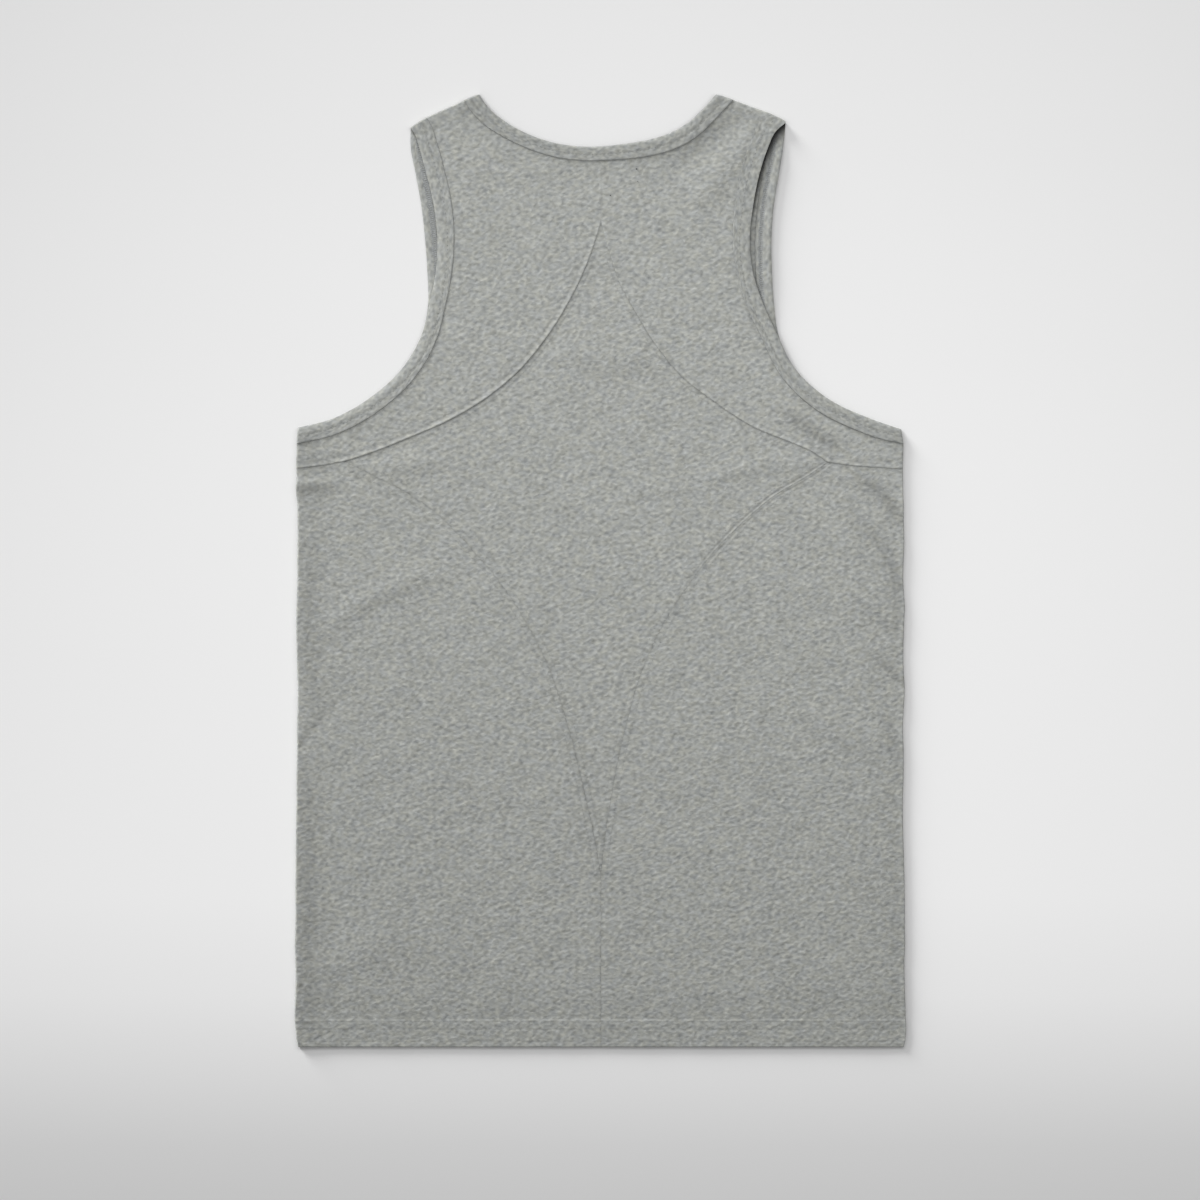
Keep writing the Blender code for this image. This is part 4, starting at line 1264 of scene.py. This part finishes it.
def marl_group():
    """Light and dark fibres: noises stretched near the yarn, and a soft tint."""
    tree, given, out = new_group(
        "marl_fibres",
        (
            ("Cloth", "Vector"),
            ("Fibre Length", "Float", 0.0042),
            ("Fibre Width", "Float", 0.0029),
            ("Contrast", "Float"),
            ("Dark", "Color"),
            ("Light", "Color"),
        ),
        (("Color", "Color"), ("Fibres", "Float")),
    )
    cloth = given["Cloth"]
    parts = []
    for long, wide, detail, distortion, seed, turn, amount in FIBRES:
        length = maths(tree, "MULTIPLY", given["Fibre Length"], long)
        width = maths(tree, "MULTIPLY", given["Fibre Width"], wide)
        parts.append((noise(tree, cloth, length, width, detail, distortion, seed, turn), amount))
    fibres = weighted(tree, *parts)
    centred = maths(tree, "SUBTRACT", fibres, FIBRE_MEAN)
    share = maths(tree, "MULTIPLY_ADD", centred, given["Contrast"], 0.5)
    colour = mix(tree, add(tree, "Clamp", i0=share).outputs[0], given["Dark"], given["Light"])
    tint = ramp(tree, noise(tree, cloth, *TINT_NOISE), TINTS)
    tree.links.new(mix(tree, 1.0, colour, tint, "MULTIPLY"), out["Color"])
    tree.links.new(fibres, out["Fibres"])
    return tree


def knit_group():
    """V stitches: KNIT_LOOP * a sine of v / Course + a zigzag of u / Wale, plus a sine across u."""
    tree, given, out = new_group(
        "jersey_knit",
        (("Cloth", "Vector"), ("Wale", "Float", 0.00085), ("Course", "Float", 0.00062)),
        (("Height", "Float"),),
    )
    parts = add(tree, "SeparateXYZ", i0=given["Cloth"]).outputs
    column = maths(tree, "PINGPONG", maths(tree, "DIVIDE", parts[0], given["Wale"]), 0.5)
    lean = maths(tree, "MULTIPLY", column, KNIT_LEAN)
    row = maths(tree, "ADD", maths(tree, "DIVIDE", parts[1], given["Course"]), lean)
    loop, furrow = (maths(tree, "SINE", maths(tree, "MULTIPLY", value, 2 * np.pi)) for value in (row, column))
    tree.links.new(maths(tree, "MULTIPLY_ADD", loop, KNIT_LOOP, furrow), out["Height"])
    return tree


def nap_group():
    """Loose fibre ends: two fine noises, one stretched along the yarn."""
    inputs = (("Cloth", "Vector"), ("Size", "Float", 0.0005))
    tree, given, out = new_group("fibre_nap", inputs, (("Height", "Float"),))
    cloth = given["Cloth"]
    size = given["Size"]
    fine = noise(tree, cloth, size, size, detail=2.0, distortion=0.2, seed=2.2, roughness=0.6)
    long, wide = (maths(tree, "MULTIPLY", size, times) for times in (4.0, 0.8))
    hairs = noise(tree, cloth, long, wide, detail=1.0, distortion=0.8, seed=9.1)
    tree.links.new(maths(tree, "ADD", fine, hairs), out["Height"])
    return tree


def new_material(name):
    """A material, its tree and its shader."""
    material = bpy.data.materials.new(name)
    material.use_nodes = True
    return material, material.node_tree, material.node_tree.nodes["Principled BSDF"]


def dress(tree, shader, colour, level, strength, distance, **looks):
    """Gives a cloth's shader its colour under the piece's painted shade, its relief and its other looks."""
    shade = add(tree, "Attribute", {"attribute_name": "shade"}).outputs["Fac"]
    bump = add(tree, "Bump", Strength=strength, Distance=distance, Height=level).outputs[0]
    give(tree, shader, {"Base Color": mix(tree, shade, colour, PAINTED_SHADE_COLOUR), "Normal": bump, **looks})


def jersey(name, groups, dark, light, contrast, relief_height):
    """Marl jersey: fibres give the colour, and fibres, knit and nap give the relief."""
    material, tree, shader = new_material(name)
    cloth = add(tree, "UVMap", {"uv_map": "cloth"}).outputs[0]
    looks = {"Contrast": contrast, "Dark": (*dark, 1.0), "Light": (*light, 1.0)}
    fibres = add(tree, "Group", {"node_tree": groups["marl"]}, Cloth=cloth, **looks).outputs
    knit = add(tree, "Group", {"node_tree": groups["knit"]}, Cloth=cloth).outputs["Height"]
    nap = add(tree, "Group", {"node_tree": groups["nap"]}, Cloth=cloth).outputs["Height"]
    level = weighted(tree, (fibres["Fibres"], 1.0), (knit, KNIT_AMOUNT), (nap, NAP_AMOUNT))
    rough = maths(tree, "MULTIPLY_ADD", nap, 0.10, 0.80)
    looks = {"Roughness": rough, "Specular IOR Level": 0.15, "Sheen Weight": 0.12, "Sheen Roughness": 0.55}
    dress(tree, shader, fibres["Color"], level, 1.0, relief_height, **looks)
    return material


def sewing_thread(name, groups, dark, light):
    """Matt thread: plies turn round it as a wave along its length."""
    material, tree, shader = new_material(name)
    cloth = add(tree, "UVMap", {"uv_map": "cloth"}).outputs[0]
    parts = add(tree, "SeparateXYZ", i0=cloth).outputs
    turns = maths(tree, "MULTIPLY_ADD", parts[1], PLY_SLANT, parts[0])
    ply = maths(tree, "SINE", maths(tree, "MULTIPLY", turns, 2 * np.pi / PLY_LENGTH))
    nap = add(tree, "Group", {"node_tree": groups["nap"]}, Cloth=cloth, Size=0.0004).outputs["Height"]
    level = maths(tree, "MULTIPLY_ADD", nap, 0.5, ply)
    colour = mix(tree, maths(tree, "MULTIPLY_ADD", ply, 0.06, 0.5), (*dark, 1.0), (*light, 1.0))
    dress(tree, shader, colour, level, 0.6, PLY_RELIEF, **{"Roughness": 0.7, "Specular IOR Level": 0.3})
    return material


# Surroundings


def floor():
    """A plain pale surface with painted shade that darkens it softly towards the hem's side."""
    corners = [(x * FLOOR_HALF, y * FLOOR_HALF, 0) for x, y in ((-1, -1), (1, -1), (1, 1), (-1, 1))]
    mesh = bpy.data.meshes.new("floor")
    mesh.from_pydata(corners, [], [(0, 1, 2, 3)])
    surface = placed("floor", mesh)
    material, tree, shader = new_material("floor_paper")
    place = add(tree, "TexCoord").outputs["Object"]
    parts = add(tree, "SeparateXYZ", i0=place).outputs
    up = add(tree, "MapRange", i0=parts[1], i1=FLOOR_SPAN[0], i2=FLOOR_SPAN[1], i3=0.0, i4=1.0).outputs[0]
    falloff_tones = ramp(tree, up, [(at, (tone,) * 3) for at, tone in FLOOR_PAINTED_FALLOFF])
    give(tree, shader, {"Base Color": falloff_tones, "Roughness": 0.9, "Specular IOR Level": 0.1})
    mesh.materials.append(material)


def aim(thing, place, target):
    """Puts an object in its place with its -Z axis towards the target."""
    thing.location = place
    away = np.array(place) - target
    away /= np.linalg.norm(away)
    thing.rotation_euler = (np.arccos(away[2]), 0.0, np.arctan2(away[1], away[0]) + np.pi / 2)


def lights():
    """A broad low key from the upper left, a softbox beyond the neck and an even fill."""
    key = bpy.data.lights.new("key", "SUN")
    key.energy = KEY_ENERGY
    key.angle = np.radians(KEY_ANGLE)
    turn, lift = np.radians((KEY_AZIMUTH, KEY_ELEVATION))
    place = (np.cos(turn) * np.cos(lift), np.sin(turn) * np.cos(lift), np.sin(lift))
    aim(placed("key", key), place, (0.0, 0.0, 0.0))
    box = bpy.data.lights.new("softbox", "AREA")
    box.shape = "RECTANGLE"
    box.size, box.size_y = BOX_SIZE
    box.energy = BOX_ENERGY
    lamp = placed("softbox", box)
    lamp.visible_camera = False
    aim(lamp, BOX_PLACE, BOX_TARGET)
    world = bpy.data.worlds.new("fill")
    bpy.context.scene.world = world
    world.use_nodes = True
    back = world.node_tree.nodes["Background"]
    back.inputs[0].default_value = (1.0, 1.0, 1.0, 1.0)
    back.inputs[1].default_value = FILL


def camera():
    """A long lens straight above the garment."""
    made = bpy.data.cameras.new("camera")
    made.sensor_width = 36.0
    made.lens = LENS
    made.clip_start = 0.05
    made.clip_end = 50.0
    viewer = placed("camera", made)
    viewer.location = CAMERA_PLACE
    bpy.context.scene.camera = viewer


def main():
    """Every piece, the surface, the light and the camera."""
    groups = {"marl": marl_group(), "knit": knit_group(), "nap": nap_group()}
    panel, band_cloth = (jersey(name, groups, *look) for name, look in JERSEYS.items())
    thread, loose, dark = (sewing_thread(name, groups, *look) for name, look in THREADS.items())
    front_panel(panel)
    back_center(panel)
    for side in SIDE:
        back_yoke(side, panel)
        back_lower(side, panel)
    for kind in ("neck", *SIDE):
        band(kind, band_cloth, thread, loose)
    seam_stitches(thread)
    hem_stitches(thread)
    tack_stitches(dark)
    floor()
    lights()
    camera()
    bpy.context.scene.view_settings.view_transform = "Standard"


main()
